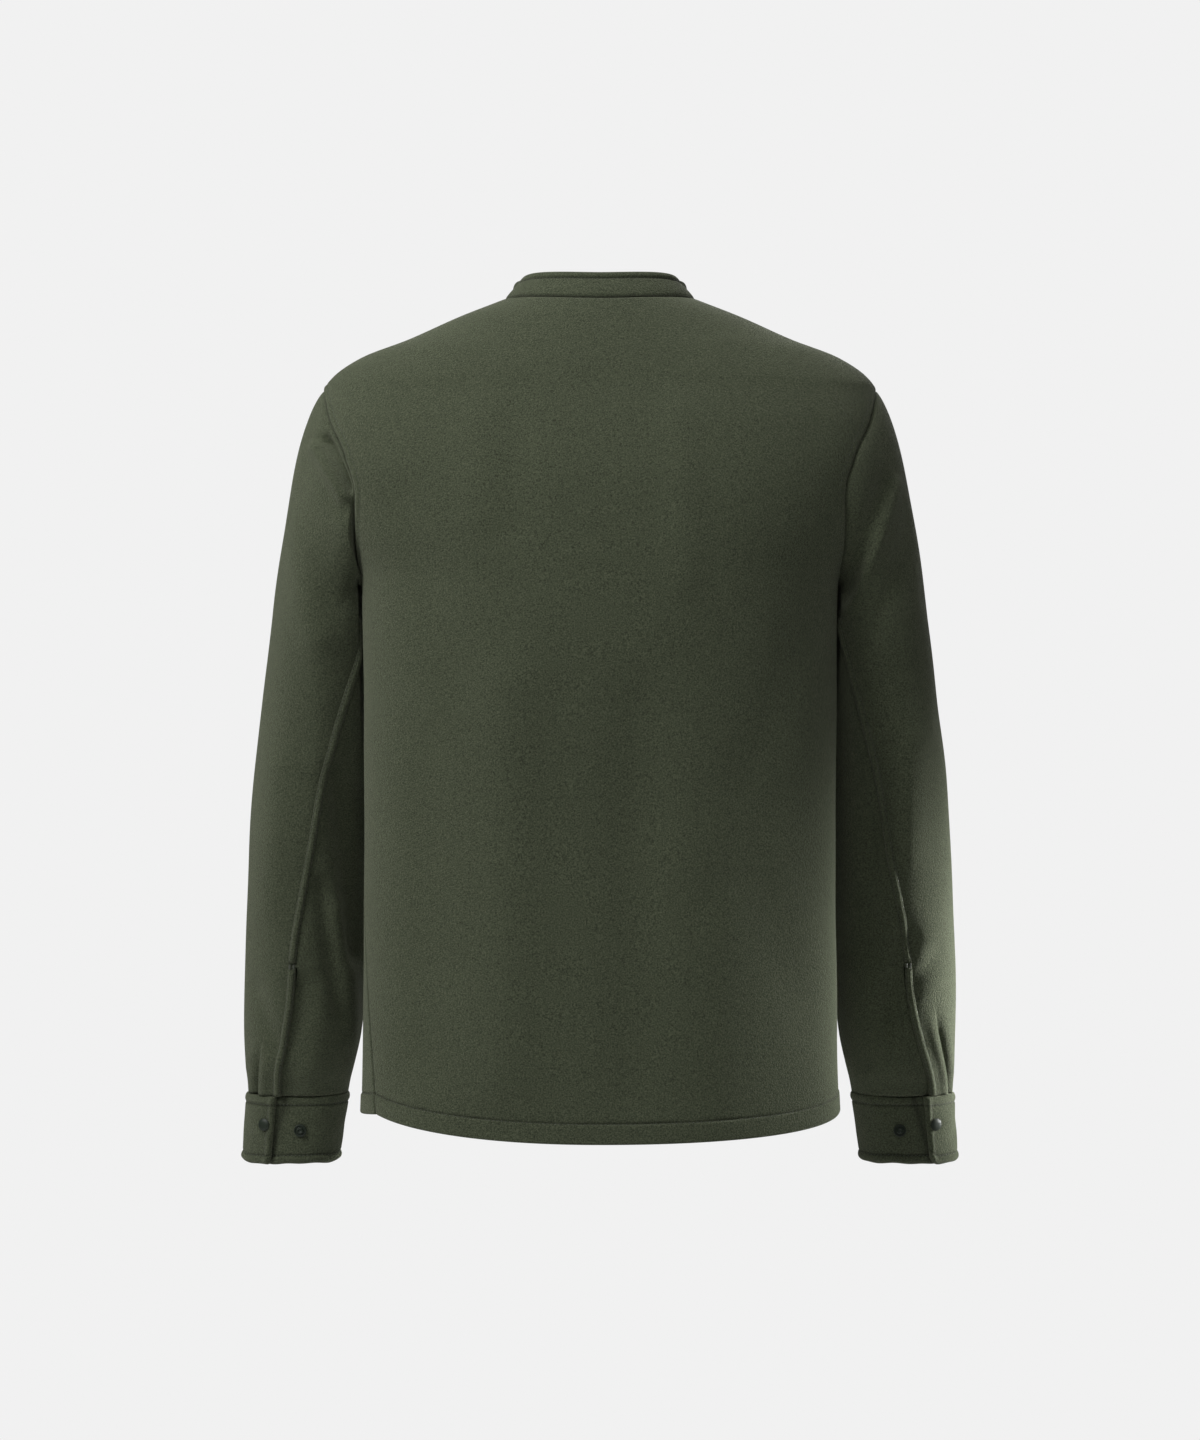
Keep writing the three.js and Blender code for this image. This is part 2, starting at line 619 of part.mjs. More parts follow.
// Arm rows of the sleeve, with the pleat groove and the lowered free edge of the slit
function armRows(side) {
  return sleeveLevels.map((z) => {
    const track = sleeveTrack(z, side);
    const open = z < slitTop;
    const extension = open ? slitReach(z) : 0;
    const groove = pleatDepth * ease(-612, -660, z);
    return sleeveColumns(track.total, track.total * outerLineShare, extension).map((distance) => {
      const { point, normal } = track.at(distance);
      const inGroove = Math.abs(distance - pleatDistance) < 1 ? groove : 0;
      const besideGroove = Math.abs(Math.abs(distance - pleatDistance) - 3.5) < 0.1 ? groove / 5 : 0;
      const lowered = open ? slitDrop * ease(track.total - 30, track.total - 5, distance) : 0;
      point.addScaledVector(normal, besideGroove - inGroove - lowered);
      clearOfBody(point, bodyClearance);
      return point;
    });
  });
}

// Normals of a sleeve grid from its own rows and columns
function gridNormals(rows, joined) {
  const lastRow = rows.length - 1;
  const lastColumn = rows[0].length - 1;
  return rows.map((row, r) => row.map((point, c) => {
    const wraps = joined(r);
    const before = c > 0 ? row[c - 1] : row[wraps ? lastColumn - 1 : 0];
    const after = c < lastColumn ? row[c + 1] : row[wraps ? 1 : lastColumn];
    const above = rows[Math.max(0, r - 1)][c];
    const below = rows[Math.min(lastRow, r + 1)][c];
    const across = after.clone().sub(before);
    const along = below.clone().sub(above);
    return across.cross(along).normalize();
  }));
}

function buildSleeve(side, folds) {
  const cap = capRows(side);
  const plain = [...cap.rows, ...armRows(side)];
  const capCount = cap.rows.length;
  const joined = (r) => r < capCount || sleeveLevels[r - capCount] > slitTop;
  const firstNormals = gridNormals(plain, joined);
  const outer = plain.map((row, r) => row.map((point, c) => {
    const normal = firstNormals[r][c];
    const fromArmhole = ease(0, 0.3, r < capCount ? capSteps[r] : 1);
    const fromCuff = ease(-676, -630, point.z);
    const height = foldHeight(folds, point.x, point.z, normal.y) * fromArmhole * fromCuff;
    const moved = point.clone().addScaledVector(normal, height);
    if (r > 4) {
      clearOfBody(moved, bodyClearance);
    }
    return moved;
  }));
  const normals = gridNormals(outer, joined);
  const inner = outer.map((row, r) => row.map((point, c) => {
    const direction = normals[r][c].clone();
    if (r === 0) {
      direction.add(cap.edgeNormals[c]).normalize();
    }
    return point.clone().addScaledVector(direction, -clothThickness);
  }));
  const flip = (vector) => new THREE.Vector3(vector.x * side, vector.y, vector.z);
  const flipGrid = (grid) => grid.map((row) => row.map(flip));
  const name = side > 0 ? 'sleeve_left' : 'sleeve_right';
  addPiece(name, wallGeometry(flipGrid(outer), flipGrid(inner), joined), clothColor);
  const addStrip = (suffix, firstLevel, lastLevel) => {
    const chosen = outer.map((row, r) => r).filter((r) => {
      const level = sleeveLevels[r - capCount] ?? 0;
      return level <= firstLevel && level >= lastLevel;
    });
    const points = chosen.map((r) => flipGrid(outer)[r].slice(0, stripColumns));
    const faces = chosen.map((r) => flipGrid(normals)[r].slice(0, stripColumns));
    addPiece(`${name}_${suffix}`, stripGeometry(points, faces, stripThickness), clothColor);
  };
  addStrip('welt', -271, -566);
  addStrip('binding', -574, -685.6);
}
buildSleeve(1, leftSleeveFolds);
buildSleeve(-1, rightSleeveFolds);

// Cuff: a two-ply band whose flap end laps over the under end
const cuffSteps = [
  { share: 0, round: 0.9 },
  { share: 0.05, round: 0 },
  { share: 0.5, round: 0 },
  { share: 0.95, round: 0 },
  { share: 1, round: 0.9 },
];
function cuffTrack(z, side) {
  const start = flapAngle + side * cuffTurn;
  return ovalTrack(z, cuff.x(z), cuff.half(z), cuff.mid(z), cuff.depth(z), start);
}

function cuffPlace(z, distance, round, side) {
  const track = cuffTrack(z, side);
  const along = distance < 0 ? track.total + distance : distance;
  const { point, normal } = track.at(along);
  const lowered = (bandThickness + 0.8) * ease(track.total - 46, track.total - 4, along);
  const outer = point.clone().addScaledVector(normal, 1 - round - lowered);
  const inner = point.clone().addScaledVector(normal, 1 - bandThickness + round - lowered);
  return { outer, inner, normal };
}

function buildCuff(side) {
  const name = side > 0 ? 'left' : 'right';
  const flip = (vector) => new THREE.Vector3(vector.x * side, vector.y, vector.z);
  const rows = cuffSteps.map((step) => {
    const z = cuffTop - cuffHeight * step.share;
    const { total } = cuffTrack(z, side);
    const distances = [
      0, 7, 14, 21, 28,
      ...evenly(28, total - 46, 11).slice(1),
      total - 35, total - 25, total - 15, total - 5,
      total + 4, total + 12, total + 20, total + cuffOverlap,
    ];
    return distances.map((distance) => {
      const place = cuffPlace(z, distance, step.round, side);
      return { outer: flip(place.outer), inner: flip(place.inner) };
    });
  });
  addPiece(
    `cuff_${name}`,
    wallGeometry(rows.map((row) => row.map((p) => p.outer)), rows.map((row) => row.map((p) => p.inner))),
    bandColor,
  );
  const cap = cuffSnapPlace(cuffCapHeight, cuffCapDistance, side);
  addSnap(`snap_cuff_${name}_cap`, capProfile, flip(cap.point), flip(cap.normal));
  const stud = cuffSnapPlace(cuffStudHeight, cuffStudDistance, side);
  addSnap(`snap_cuff_${name}_stud`, studProfile, flip(stud.point), flip(stud.normal));
}

// Seat of a cuff snap: square to the cloth between two points either side of it, and above
// the highest of the three
function cuffSnapPlace(height, distance, side) {
  const [before, here, after] = [-5.5, 0, 5.5].map((step) => (
    cuffPlace(height, distance + step, 0, side).outer
  ));
  const along = after.clone().sub(before);
  const normal = new THREE.Vector3(-along.y, along.x, 0).normalize();
  const rise = Math.max(0, before.clone().sub(here).dot(normal));
  return { point: here.addScaledVector(normal, rise + 0.2), normal };
}

// Snap parts turned about their own axis: radius and height of each profile corner
const capRadius = capDiameter / 2;
const studRadius = studDiameter / 2;
const capProfile = [
  { radius: 0, height: 0 },
  { radius: capRadius - 0.4, height: 0 },
  { radius: capRadius, height: 0.7 },
  { radius: capRadius - 0.5, height: 1.5 },
  { radius: capRadius * 0.6, height: 2.1 },
  { radius: 0, height: 2.3 },
];
const studProfile = [
  { radius: 0, height: 0 },
  { radius: studRadius - 0.2, height: 0 },
  { radius: studRadius, height: 0.6 },
  { radius: studRadius - 0.9, height: 1.2 },
  { radius: studRadius * 0.52, height: 1.2 },
  { radius: studRadius * 0.46, height: 2.4 },
  { radius: studRadius * 0.3, height: 2.6 },
  { radius: 0, height: 1.9 },
];
function turnedGeometry(profile, segments) {
  const rings = profile.slice(1, -1);
  const positions = [0, 0, profile[0].height];
  rings.forEach((corner) => {
    for (let s = 0; s < segments; s += 1) {
      const angle = (2 * Math.PI * s) / segments;
      positions.push(corner.radius * Math.cos(angle), corner.radius * Math.sin(angle), corner.height);
    }
  });
  positions.push(0, 0, profile[profile.length - 1].height);
  const top = positions.length / 3 - 1;
  const at = (ring, s) => 1 + ring * segments + (s % segments);
  const faces = [];
  for (let s = 0; s < segments; s += 1) {
    faces.push(0, at(0, s + 1), at(0, s));
    rings.slice(1).forEach((corner, ring) => {
      faces.push(at(ring, s), at(ring, s + 1), at(ring + 1, s + 1));
      faces.push(at(ring, s), at(ring + 1, s + 1), at(ring + 1, s));
    });
    faces.push(top, at(rings.length - 1, s), at(rings.length - 1, s + 1));
  }
  return outwardGeometry(positions, faces);
}

function addSnap(name, profile, point, normal) {
  const geometry = turnedGeometry(profile, 14);
  const turn = new THREE.Quaternion().setFromUnitVectors(new THREE.Vector3(0, 0, 1), normal);
  geometry.applyQuaternion(turn);
  const base = point.clone().addScaledVector(normal, trimGap + 0.1);
  geometry.translate(base.x, base.y, base.z);
  addPiece(name, geometry, snapColor, 0.3);
}

buildCuff(1);
buildCuff(-1);

// Front snaps on the placket, then one on the lapped collar end
placketSnapHeights.forEach((height, i) => {
  const angle = -angleAtWidth(0, height);
  const normal = bodyNormal(angle, height);
  const calm = ease(-60, -120, height) * ease(-700, -640, height);
  const fold = calm * foldHeight(bodyFolds, 0, height, normal.y);
  const away = overlapLift + trimGap + stripThickness + fold;
  const point = bodyPoint(angle, height).addScaledVector(normal, away);
  addSnap(`snap_front_${i + 1}`, capProfile, point, normal);
});
const collarEnd = collarPlaces[1].slice(1, 3);
const collarMiddle = collarPlaces[2].slice(1, 3);
const collarSnapPoint = new THREE.Vector3();
[...collarEnd, ...collarMiddle].forEach((place) => collarSnapPoint.addScaledVector(place.outer, 0.25));
addSnap('snap_collar', capProfile, collarSnapPoint, collarMiddle[0].normal);

export default jacket;
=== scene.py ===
import bpy
import numpy as np
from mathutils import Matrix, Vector


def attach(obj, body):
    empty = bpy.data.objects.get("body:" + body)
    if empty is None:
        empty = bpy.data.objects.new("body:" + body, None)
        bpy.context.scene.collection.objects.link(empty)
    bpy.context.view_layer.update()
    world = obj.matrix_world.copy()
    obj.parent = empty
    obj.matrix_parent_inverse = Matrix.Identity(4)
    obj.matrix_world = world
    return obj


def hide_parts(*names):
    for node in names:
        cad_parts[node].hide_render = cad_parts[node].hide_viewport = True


# Fleece jacket filled out with no wearer, seen from behind. Sizes are in millimetres and are
# turned to metres when a mesh is made, but flat cuts, bump heights, lamps and the camera are
# in metres. +Z is up and the front faces -Y.
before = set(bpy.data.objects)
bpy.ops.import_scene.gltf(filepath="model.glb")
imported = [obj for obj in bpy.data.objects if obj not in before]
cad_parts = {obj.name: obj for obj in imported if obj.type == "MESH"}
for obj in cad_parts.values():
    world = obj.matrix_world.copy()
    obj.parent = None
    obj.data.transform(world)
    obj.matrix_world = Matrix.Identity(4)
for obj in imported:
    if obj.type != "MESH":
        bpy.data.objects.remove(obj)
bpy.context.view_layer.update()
toMetres = 0.001
print("frame loaded")


# Small helpers for numbers and curves
def smoothStep(low, high, value):
    # eased share of the way from low to high: three t squared minus two t cubed
    t = np.clip((value - low) / (high - low), 0, 1)
    return t * t * (3 - 2 * t)


def mix(first, second, share):
    # the first plus a share of the difference
    return first + (second - first) * share


def bell(value, centre, width):
    # e to the power of minus ((value - centre) / width) squared
    return np.exp(-(((value - centre) / width) ** 2))


def roundedEdge(distance, size, least):
    # quarter circle in from an edge: root of 1 minus (1 - distance / size) squared, kept open by least
    return np.sqrt(1 - (1 - np.clip(distance / size, least, 1)) ** 2)


def unit(vectors):
    # divided by their own length
    return vectors / np.maximum(np.linalg.norm(vectors, axis=-1, keepdims=True), 1e-9)


def makeCurve(knots, values):
    # cubic pieces between the table values, with harmonic-mean slopes so that it never overshoots
    knots, values = np.array(knots, float), np.array(values, float)
    rises = np.diff(values) / np.diff(knots)
    product = rises[:-1] * rises[1:]
    total = np.where(product > 0, rises[:-1] + rises[1:], 1)
    slopes = np.r_[rises[0], np.where(product > 0, 2 * product / total, 0), rises[-1]]

    def at(place):
        place = np.clip(place, knots[0], knots[-1])
        i = np.clip(np.searchsorted(knots, place), 1, len(knots) - 1)
        span = knots[i] - knots[i - 1]
        t = (place - knots[i - 1]) / span
        rising = t * t * (3 - 2 * t)
        pull = t * (1 - t) ** 2 * slopes[i - 1] + t * t * (t - 1) * slopes[i]
        return values[i - 1] * (1 - rising) + values[i] * rising + span * pull
    return at


def makeCurves(table, along="z"):
    # a curve for each column of the table
    return {name: makeCurve(table[along], column) for name, column in table.items() if name != along}


def foldHeight(folds, x, z, facing):
    # sum of soft ridges and troughs, each a bell of the distance to its line in the x, z view,
    # faded out where the cloth turns away from that face
    height = np.zeros(np.broadcast(x, z).shape)
    for face, x1, z1, x2, z2, width, depth in folds:
        alongX, alongZ = x2 - x1, z2 - z1
        share = np.clip(((x - x1) * alongX + (z - z1) * alongZ) / (alongX ** 2 + alongZ ** 2), 0, 1)
        away = np.hypot(x - x1 - share * alongX, z - z1 - share * alongZ)
        height += depth * bell(away, 0, width) * smoothStep(0.1, 0.6, face * facing)
    return height


def softWaves(x, z, seed, size, height):
    # slow unevenness of hanging cloth: four sine waves in seeded directions, averaged
    random = np.random.default_rng(seed)
    total = 0
    for angle, phase, stretch in random.uniform(0, 1, (4, 3)):
        turn = angle * np.pi
        across = x * np.cos(turn) + z * np.sin(turn)
        total = total + np.sin(across * 2 * np.pi / (size * (0.7 + 0.8 * stretch)) + phase * 6.28)
    return height * total / 4


def fullTurn(sides):
    # even angles round a circle
    return np.linspace(0, 2 * np.pi, sides, endpoint=False)


def closest(values, wanted):
    # number of the value nearest to the one wanted
    return int(np.argmin(np.abs(values - wanted)))


def gridNormals(grid, joined):
    # cross product of the steps along the columns and along the rows, wrapped on joined rows
    across = np.empty_like(grid)
    across[:, 1:-1] = grid[:, 2:] - grid[:, :-2]
    across[:, 0] = grid[:, 1] - grid[:, 0]
    across[:, -1] = grid[:, -1] - grid[:, -2]
    across[joined, 0] = grid[joined, 1] - grid[joined, -2]
    across[joined, -1] = across[joined, 0]
    return unit(np.cross(across, np.gradient(grid, axis=0)))


def lengths(line):
    # distance travelled along a line, or down each column of a grid, from its first point
    steps = np.linalg.norm(np.diff(line, axis=0), axis=-1)
    return np.concatenate([np.zeros_like(steps[:1]), np.cumsum(steps, axis=0)])


def sampleLine(distances, length, values):
    # three columns of values, read between the points at distances along their line
    return np.stack([np.interp(distances, length, values[:, k]) for k in range(3)], -1)


def trackAt(length, points, normals, distances):
    # places and normals at distances measured along a line
    return sampleLine(distances, length, points), unit(sampleLine(distances, length, normals))


def resample(line, step):
    # the same line with points a fixed step apart
    length = lengths(line)
    return sampleLine(np.linspace(0, length[-1], max(2, int(length[-1] / step))), length, line)


def lineDistance(grid, line):
    # distance from every grid point to the nearest of the line's close-set points, row by row
    dots = resample(line, 0.8)
    return np.stack([np.sqrt(((row[:, None] - dots[None]) ** 2).sum(-1).min(1)) for row in grid])


# Meshes
def addObject(name, data):
    thing = bpy.data.objects.new(name, data)
    bpy.context.collection.objects.link(thing)
    return thing


def meshFrom(name, points, faces, material):
    mesh = bpy.data.meshes.new(name)
    mesh.from_pydata((points * toMetres).tolist(), [], faces)
    mesh.materials.append(material)
    return mesh


def pieceFrom(name, points, faces, material, pressedAndShade=None):
    # one object from points in millimetres, with an optional 0 to 1 value of painted shade in seams, grooves
    # and under edges, where the pile is also pressed
    mesh = meshFrom(name, points, faces, material)
    if pressedAndShade is not None:
        shade = mesh.attributes.new("pressedAndShade", "FLOAT", "POINT")
        shade.data.foreach_set("value", pressedAndShade.ravel().astype(np.float32))
    mesh.polygons.foreach_set("use_smooth", np.ones(len(mesh.polygons), bool))
    mesh.update()
    piece = addObject(name, mesh)
    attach(piece, "root")
    return piece


def mirrored(side, *grids):
    # as drawn for the left, with x turned round for the right
    return [grid * np.array([side, 1, 1]) for grid in grids]


def standFor(node):
    # the piece takes the place of the solid of that name
    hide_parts(node)


def wallPiece(name, outer, inner, pressedAndShade, joined=None, side=1, node=None):
    # closed cloth wall: outer grid, inner grid, and strips round the open edges;
    # a joined row's last point is its first one
    outer, inner = mirrored(side, outer, inner)
    rows, columns = outer.shape[:2]
    joined = np.zeros(rows, bool) if joined is None else joined
    out = np.arange(rows * columns).reshape(rows, columns)
    out[joined, -1] = out[joined, 0]
    ins = out + rows * columns
    opened = ~(joined[:-1] & joined[1:])

    def quads(a, b, c, d):
        return np.stack([a, b, c, d], -1).reshape(-1, 4)
    faces = np.concatenate([
        quads(out[:-1, :-1], out[:-1, 1:], out[1:, 1:], out[1:, :-1]),
        quads(ins[1:, :-1], ins[1:, 1:], ins[:-1, 1:], ins[:-1, :-1]),
        quads(out[:-1, 0], out[1:, 0], ins[1:, 0], ins[:-1, 0])[opened],
        quads(out[1:, -1], out[:-1, -1], ins[:-1, -1], ins[1:, -1])[opened],
        quads(ins[0, :-1], ins[0, 1:], out[0, 1:], out[0, :-1]),
        quads(out[-1, :-1], out[-1, 1:], ins[-1, 1:], ins[-1, :-1]),
    ])
    points = np.concatenate([outer.reshape(-1, 3), inner.reshape(-1, 3)])
    shade = np.r_[pressedAndShade.ravel(), np.zeros(rows * columns)]
    used, faces = np.unique(faces, return_inverse=True)
    faces = faces.reshape(-1, 4)
    points, shade = points[used], shade[used]
    a, b, c, d = (points[faces[:, k]] for k in range(4))
    volume = (np.cross(a, b) * c).sum() + (np.cross(a, c) * d).sum()
    if volume < 0:
        faces = faces[:, ::-1]
    piece = pieceFrom(name + "_cloth", points, faces.tolist(), fleeceCloth, shade)
    standFor(node or name)
    return piece


# Materials
def linearColour(text):
    # sRGB hex to the linear values that Blender works in
    value = np.array([int(text[k:k + 2], 16) for k in (1, 3, 5)]) / 255
    linear = np.where(value <= 0.04045, value / 12.92, ((value + 0.055) / 1.055) ** 2.4)
    return (*linear.tolist(), 1.0)


def addNode(tree, kind, settings=None, links=None):
    # settings are inputs or properties, and links name the sockets that feed it
    node = tree.nodes.new(kind)
    for name, value in (settings or {}).items():
        if name in node.inputs:
            node.inputs[name].default_value = value
        else:
            setattr(node, name, value)
    for name, socket in (links or {}).items():
        tree.links.new(socket, node.inputs[name])
    return node


def newMaterial(name):
    material = bpy.data.materials.new(name)
    material.use_nodes = True
    tree = material.node_tree
    tree.nodes.clear()
    return material, tree, addNode(tree, "ShaderNodeTexCoord").outputs["Object"]


def addNoise(tree, place, scale, detail, roughness=0.5):
    return addNode(tree, "ShaderNodeTexNoise", {"Scale": scale, "Detail": detail, "Roughness": roughness},
                   {"Vector": place}).outputs["Fac"]


def addRange(tree, value, settings):
    return addNode(tree, "ShaderNodeMapRange", settings, {"Value": value}).outputs["Result"]


def addBlend(tree, factor, first, second):
    # a colour between two by a factor from 0 to 1
    blend = addNode(tree, "ShaderNodeMix", {"data_type": "RGBA"}, {"Factor": factor})
    blend.inputs[6].default_value = linearColour(first)
    blend.inputs[7].default_value = linearColour(second)
    return blend


def addSurface(tree, settings, links):
    shader = addNode(tree, "ShaderNodeBsdfPrincipled", settings, links)
    addNode(tree, "ShaderNodeOutputMaterial", {}, {"Surface": shader.outputs[0]})


# Polyester microfleece, knitted and brushed: a matte short pile that shows as fine soft
# grains, with a faint bloom of light where it is seen edge on
fleece = {
    "dark": "#282d21",
    "light": "#535946",
    # colour of the painted shade in seams, grooves and under edges, where the pile is also pressed
    "pressedAndShade": "#1b1e16",
    "grain": 1.25,         # mm across one clump of pile
    "fuzz": 0.8,           # mm across one fibre curl, coarser than the real one so that it shows
    "nap": 120,            # mm across a patch brushed one way
    "bumpDistance": 0.0016,
    "bumpStrength": 0.9,
}


def makeFleece(name, look):
    material, tree, place = newMaterial(name)
    grain = addNoise(tree, place, 1000 / look["grain"], 3, 0.6)
    fuzz = addNoise(tree, place, 1000 / look["fuzz"], 2, 0.7)
    nap = addNoise(tree, place, 1000 / look["nap"], 2)
    spread = addRange(tree, grain, {"From Min": 0.3, "From Max": 0.7})
    colour = addBlend(tree, spread, look["dark"], look["light"])
    patch = addRange(tree, nap, {"From Min": 0.3, "From Max": 0.7, "To Min": 0.96, "To Max": 1.04})
    toned = addNode(tree, "ShaderNodeHueSaturation", {}, {"Color": colour.outputs[2], "Value": patch})
    # painted shade: the colour is drawn toward the dark shade colour by the point's value, in seams, grooves
    # and under edges
    pressedAndShade = addNode(tree, "ShaderNodeAttribute", {"attribute_name": "pressedAndShade"})
    final = addBlend(tree, pressedAndShade.outputs["Fac"], look["dark"], look["pressedAndShade"])
    tree.links.new(toned.outputs["Color"], final.inputs[6])
    # relief height: the grain plus six tenths of the fuzz
    height = addNode(tree, "ShaderNodeMath", {"operation": "ADD"})
    tree.links.new(grain, height.inputs[0])
    part = addNode(tree, "ShaderNodeMath", {"operation": "MULTIPLY"})
    tree.links.new(fuzz, part.inputs[0])
    part.inputs[1].default_value = 0.6
    tree.links.new(part.outputs[0], height.inputs[1])
    relief = addNode(tree, "ShaderNodeBump",
                     {"Strength": look["bumpStrength"], "Distance": look["bumpDistance"]},
                     {"Height": height.outputs[0]})
    addSurface(tree, {
        "Roughness": 0.95, "Specular IOR Level": 0.12, "Sheen Weight": 0.35, "Sheen Roughness": 0.45,
        "Sheen Tint": linearColour("#b9bda6"),
    }, {"Base Color": final.outputs[2], "Normal": relief.outputs["Normal"]})
    return material


# Spun polyester sewing thread: slightly shinier than the pile, in the same green
def makeThread(name):
    material, tree, place = newMaterial(name)
    colour = addBlend(tree, addNoise(tree, place, 2500, 1), "#24281d", "#3a4030")
    addSurface(tree, {"Roughness": 0.55, "Sheen Weight": 0.2}, {"Base Color": colour.outputs[2]})
    return material


# Pressed brass snap with a baked green enamel: smooth and half glossy, with faint unevenness
def makeEnamel(name):
    material, tree, place = newMaterial(name)
    cloud = addNoise(tree, place, 900, 2)
    colour = addBlend(tree, cloud, "#141b14", "#222b20")
    rough = addRange(tree, cloud, {"To Min": 0.45, "To Max": 0.6})
    relief = addNode(tree, "ShaderNodeBump", {"Strength": 0.15, "Distance": 0.0002}, {"Height": cloud})
    addSurface(tree, {"Specular IOR Level": 0.3}, {
        "Base Color": colour.outputs[2], "Roughness": rough, "Normal": relief.outputs["Normal"]})
    return material


fleeceCloth = makeFleece("brushed polyester microfleece", fleece)
threadYarn = makeThread("spun polyester thread")
snapEnamel = makeEnamel("baked enamel on pressed brass")
print("materials made")


# Stitching
thread = {"pitch": 3.4, "start": 0.15, "share": 0.7, "radius": 0.26, "sunk": -0.3, "arch": 0.5,
          "sides": 5, "rings": 4}


def stitchRow(path, normals):
    # one short arched capsule of thread for each stitch along a line that lies on the cloth
    length = lengths(path)
    count = max(1, int(length[-1] / thread["pitch"]))
    t = np.linspace(0, 1, thread["rings"])
    places = (np.arange(count)[:, None] + thread["start"] + thread["share"] * t) * thread["pitch"]
    middle, upward = trackAt(length, path, normals, places)
    arch = np.sin(np.pi * t)
    middle = middle + upward * (thread["sunk"] + thread["arch"] * arch)[None, :, None]
    sideways = unit(np.cross(upward, np.gradient(middle, axis=1)))
    radius = thread["radius"] * (0.5 + 0.5 * arch)
    turn = fullTurn(thread["sides"])
    around = sideways[:, :, None] * np.cos(turn)[:, None] + upward[:, :, None] * np.sin(turn)[:, None]
    points = middle[:, :, None] + around * radius[None, :, None, None]
    rings, sides = thread["rings"], thread["sides"]
    index = np.arange(count * rings * sides).reshape(count, rings, sides)
    nextSide = np.roll(index, -1, axis=2)
    quads = np.stack([index[:, :-1], nextSide[:, :-1], nextSide[:, 1:], index[:, 1:]], -1).reshape(-1, 4)
    return points.reshape(-1, 3), quads[:, ::-1].tolist() + index[:, 0].tolist() + index[:, -1, ::-1].tolist()


def stitchPiece(name, rows):
    # all the stitches of the rows as one mesh
    points, faces, start = [], [], 0
    for path, normals in rows:
        somePoints, someFaces = stitchRow(path, normals)
        faces += [[corner + start for corner in face] for face in someFaces]
        points.append(somePoints)
        start += len(somePoints)
    piece = pieceFrom(name, np.concatenate(points), faces, threadYarn)
    return piece


# The body surface that back, fronts, collar and placket follow
bodyTable = {
    "z": [-710, -616, -440, -300, -245, -200, -165, -140, -110, -76, -66, -50, -35, -15, 0, 12],
    "half": [203, 200, 199, 200, 201, 220, 231, 238, 240, 235, 228, 205, 166, 121, 82, 52],
    "back": [104, 100, 97, 102, 105, 107, 106, 105, 101, 97, 93, 86, 80, 70, 62, 55],
    "front": [151, 149, 153, 161, 158, 149, 137, 124, 109, 84, 76, 65, 56, 48, 42, 38],
    "mid": [25, 25, 25, 25, 22, 18, 15, 11, 6, 0, 0, 0, 0, 0, 0, 0],
    "power": [2.3, 2.3, 2.35, 2.35, 2.35, 2.4, 2.45, 2.45, 2.4, 2.2, 2.1, 2.0, 2.0, 2.0, 2.0, 2.0],
}
sideTable = {
    "z": [-710, -600, -450, -300, -245],
    "left": [77, 58, 30, 14, 8],
    "right": [12, 11, 10, 9, 8],
}
armholeTable = {
    "z": [-245, -240, -225, -200, -165, -140, -110, -90, -80, -76, 12],
    "back": [8, 28, 50, 68, 76, 70, 50, 30, 12, 0, 0],
    "front": [8, -14, -38, -58, -68, -59, -44, -27, -12, 0, 0],
}
armholeBottom, shoulderTip = -245, -76
seamGap = 0.4
bodyAt, sideAt, armholeAt = makeCurves(bodyTable), makeCurves(sideTable), makeCurves(armholeTable)


def softened(curve, reach):
    # the curve averaged over a short stretch, so that the back has no ledge below the shoulders
    return lambda z: sum(curve(z + reach * k) for k in (-1, -0.5, 0, 0.5, 1)) / 5


bodyAt["back"], bodyAt["front"] = softened(bodyAt["back"], 16), softened(bodyAt["front"], 16)


def depthAt(away, z):
    # depth of the oval behind its middle, or before it where away is below 0
    return np.where(away > 0, bodyAt["back"](z), bodyAt["front"](z))


def bodyPoint(angle, z):
    # flattened oval at each height: x is half times |cos| to 2/power, y is middle plus depth
    # times |sin| to 2/power, with their own signs
    bend = 2 / bodyAt["power"](z)
    cosine, sine = np.cos(angle), np.sin(angle)
    x = bodyAt["half"](z) * np.sign(cosine) * np.abs(cosine) ** bend
    y = bodyAt["mid"](z) + depthAt(sine, z) * np.sign(sine) * np.abs(sine) ** bend
    return np.stack(np.broadcast_arrays(x, y, z), -1)


def bodyNormal(angle, z):
    # cross product of small steps round and up the surface
    around = bodyPoint(angle + 0.01, z) - bodyPoint(angle - 0.01, z)
    upward = bodyPoint(angle, z + 1) - bodyPoint(angle, z - 1)
    return unit(np.cross(around, upward))


def angleAtDepth(y, z):
    # bodyPoint turned round: arcsine of the share of the depth to power/2
    away = y - bodyAt["mid"](z)
    share = np.clip(np.abs(away) / depthAt(away, z), 0, 1)
    return np.sign(away) * np.arcsin(share ** (bodyAt["power"](z) / 2))


def angleAtWidth(x, z):
    # bodyPoint turned round: arccosine of the share of the width to power/2
    turn = np.arccos(np.clip(np.abs(x) / bodyAt["half"](z), 0, 1) ** (bodyAt["power"](z) / 2))
    return np.where(x < 0, np.pi - turn, turn)


def edgeAngleAt(z, side, face):
    # a panel edge lies half a seam gap behind or before the seam line
    line = np.where(side > 0, sideAt["left"](z), sideAt["right"](z))
    armhole = armholeAt["back"](z) if face > 0 else armholeAt["front"](z)
    return angleAtDepth(np.where(z > armholeBottom, armhole, line) + face * seamGap / 2, z)


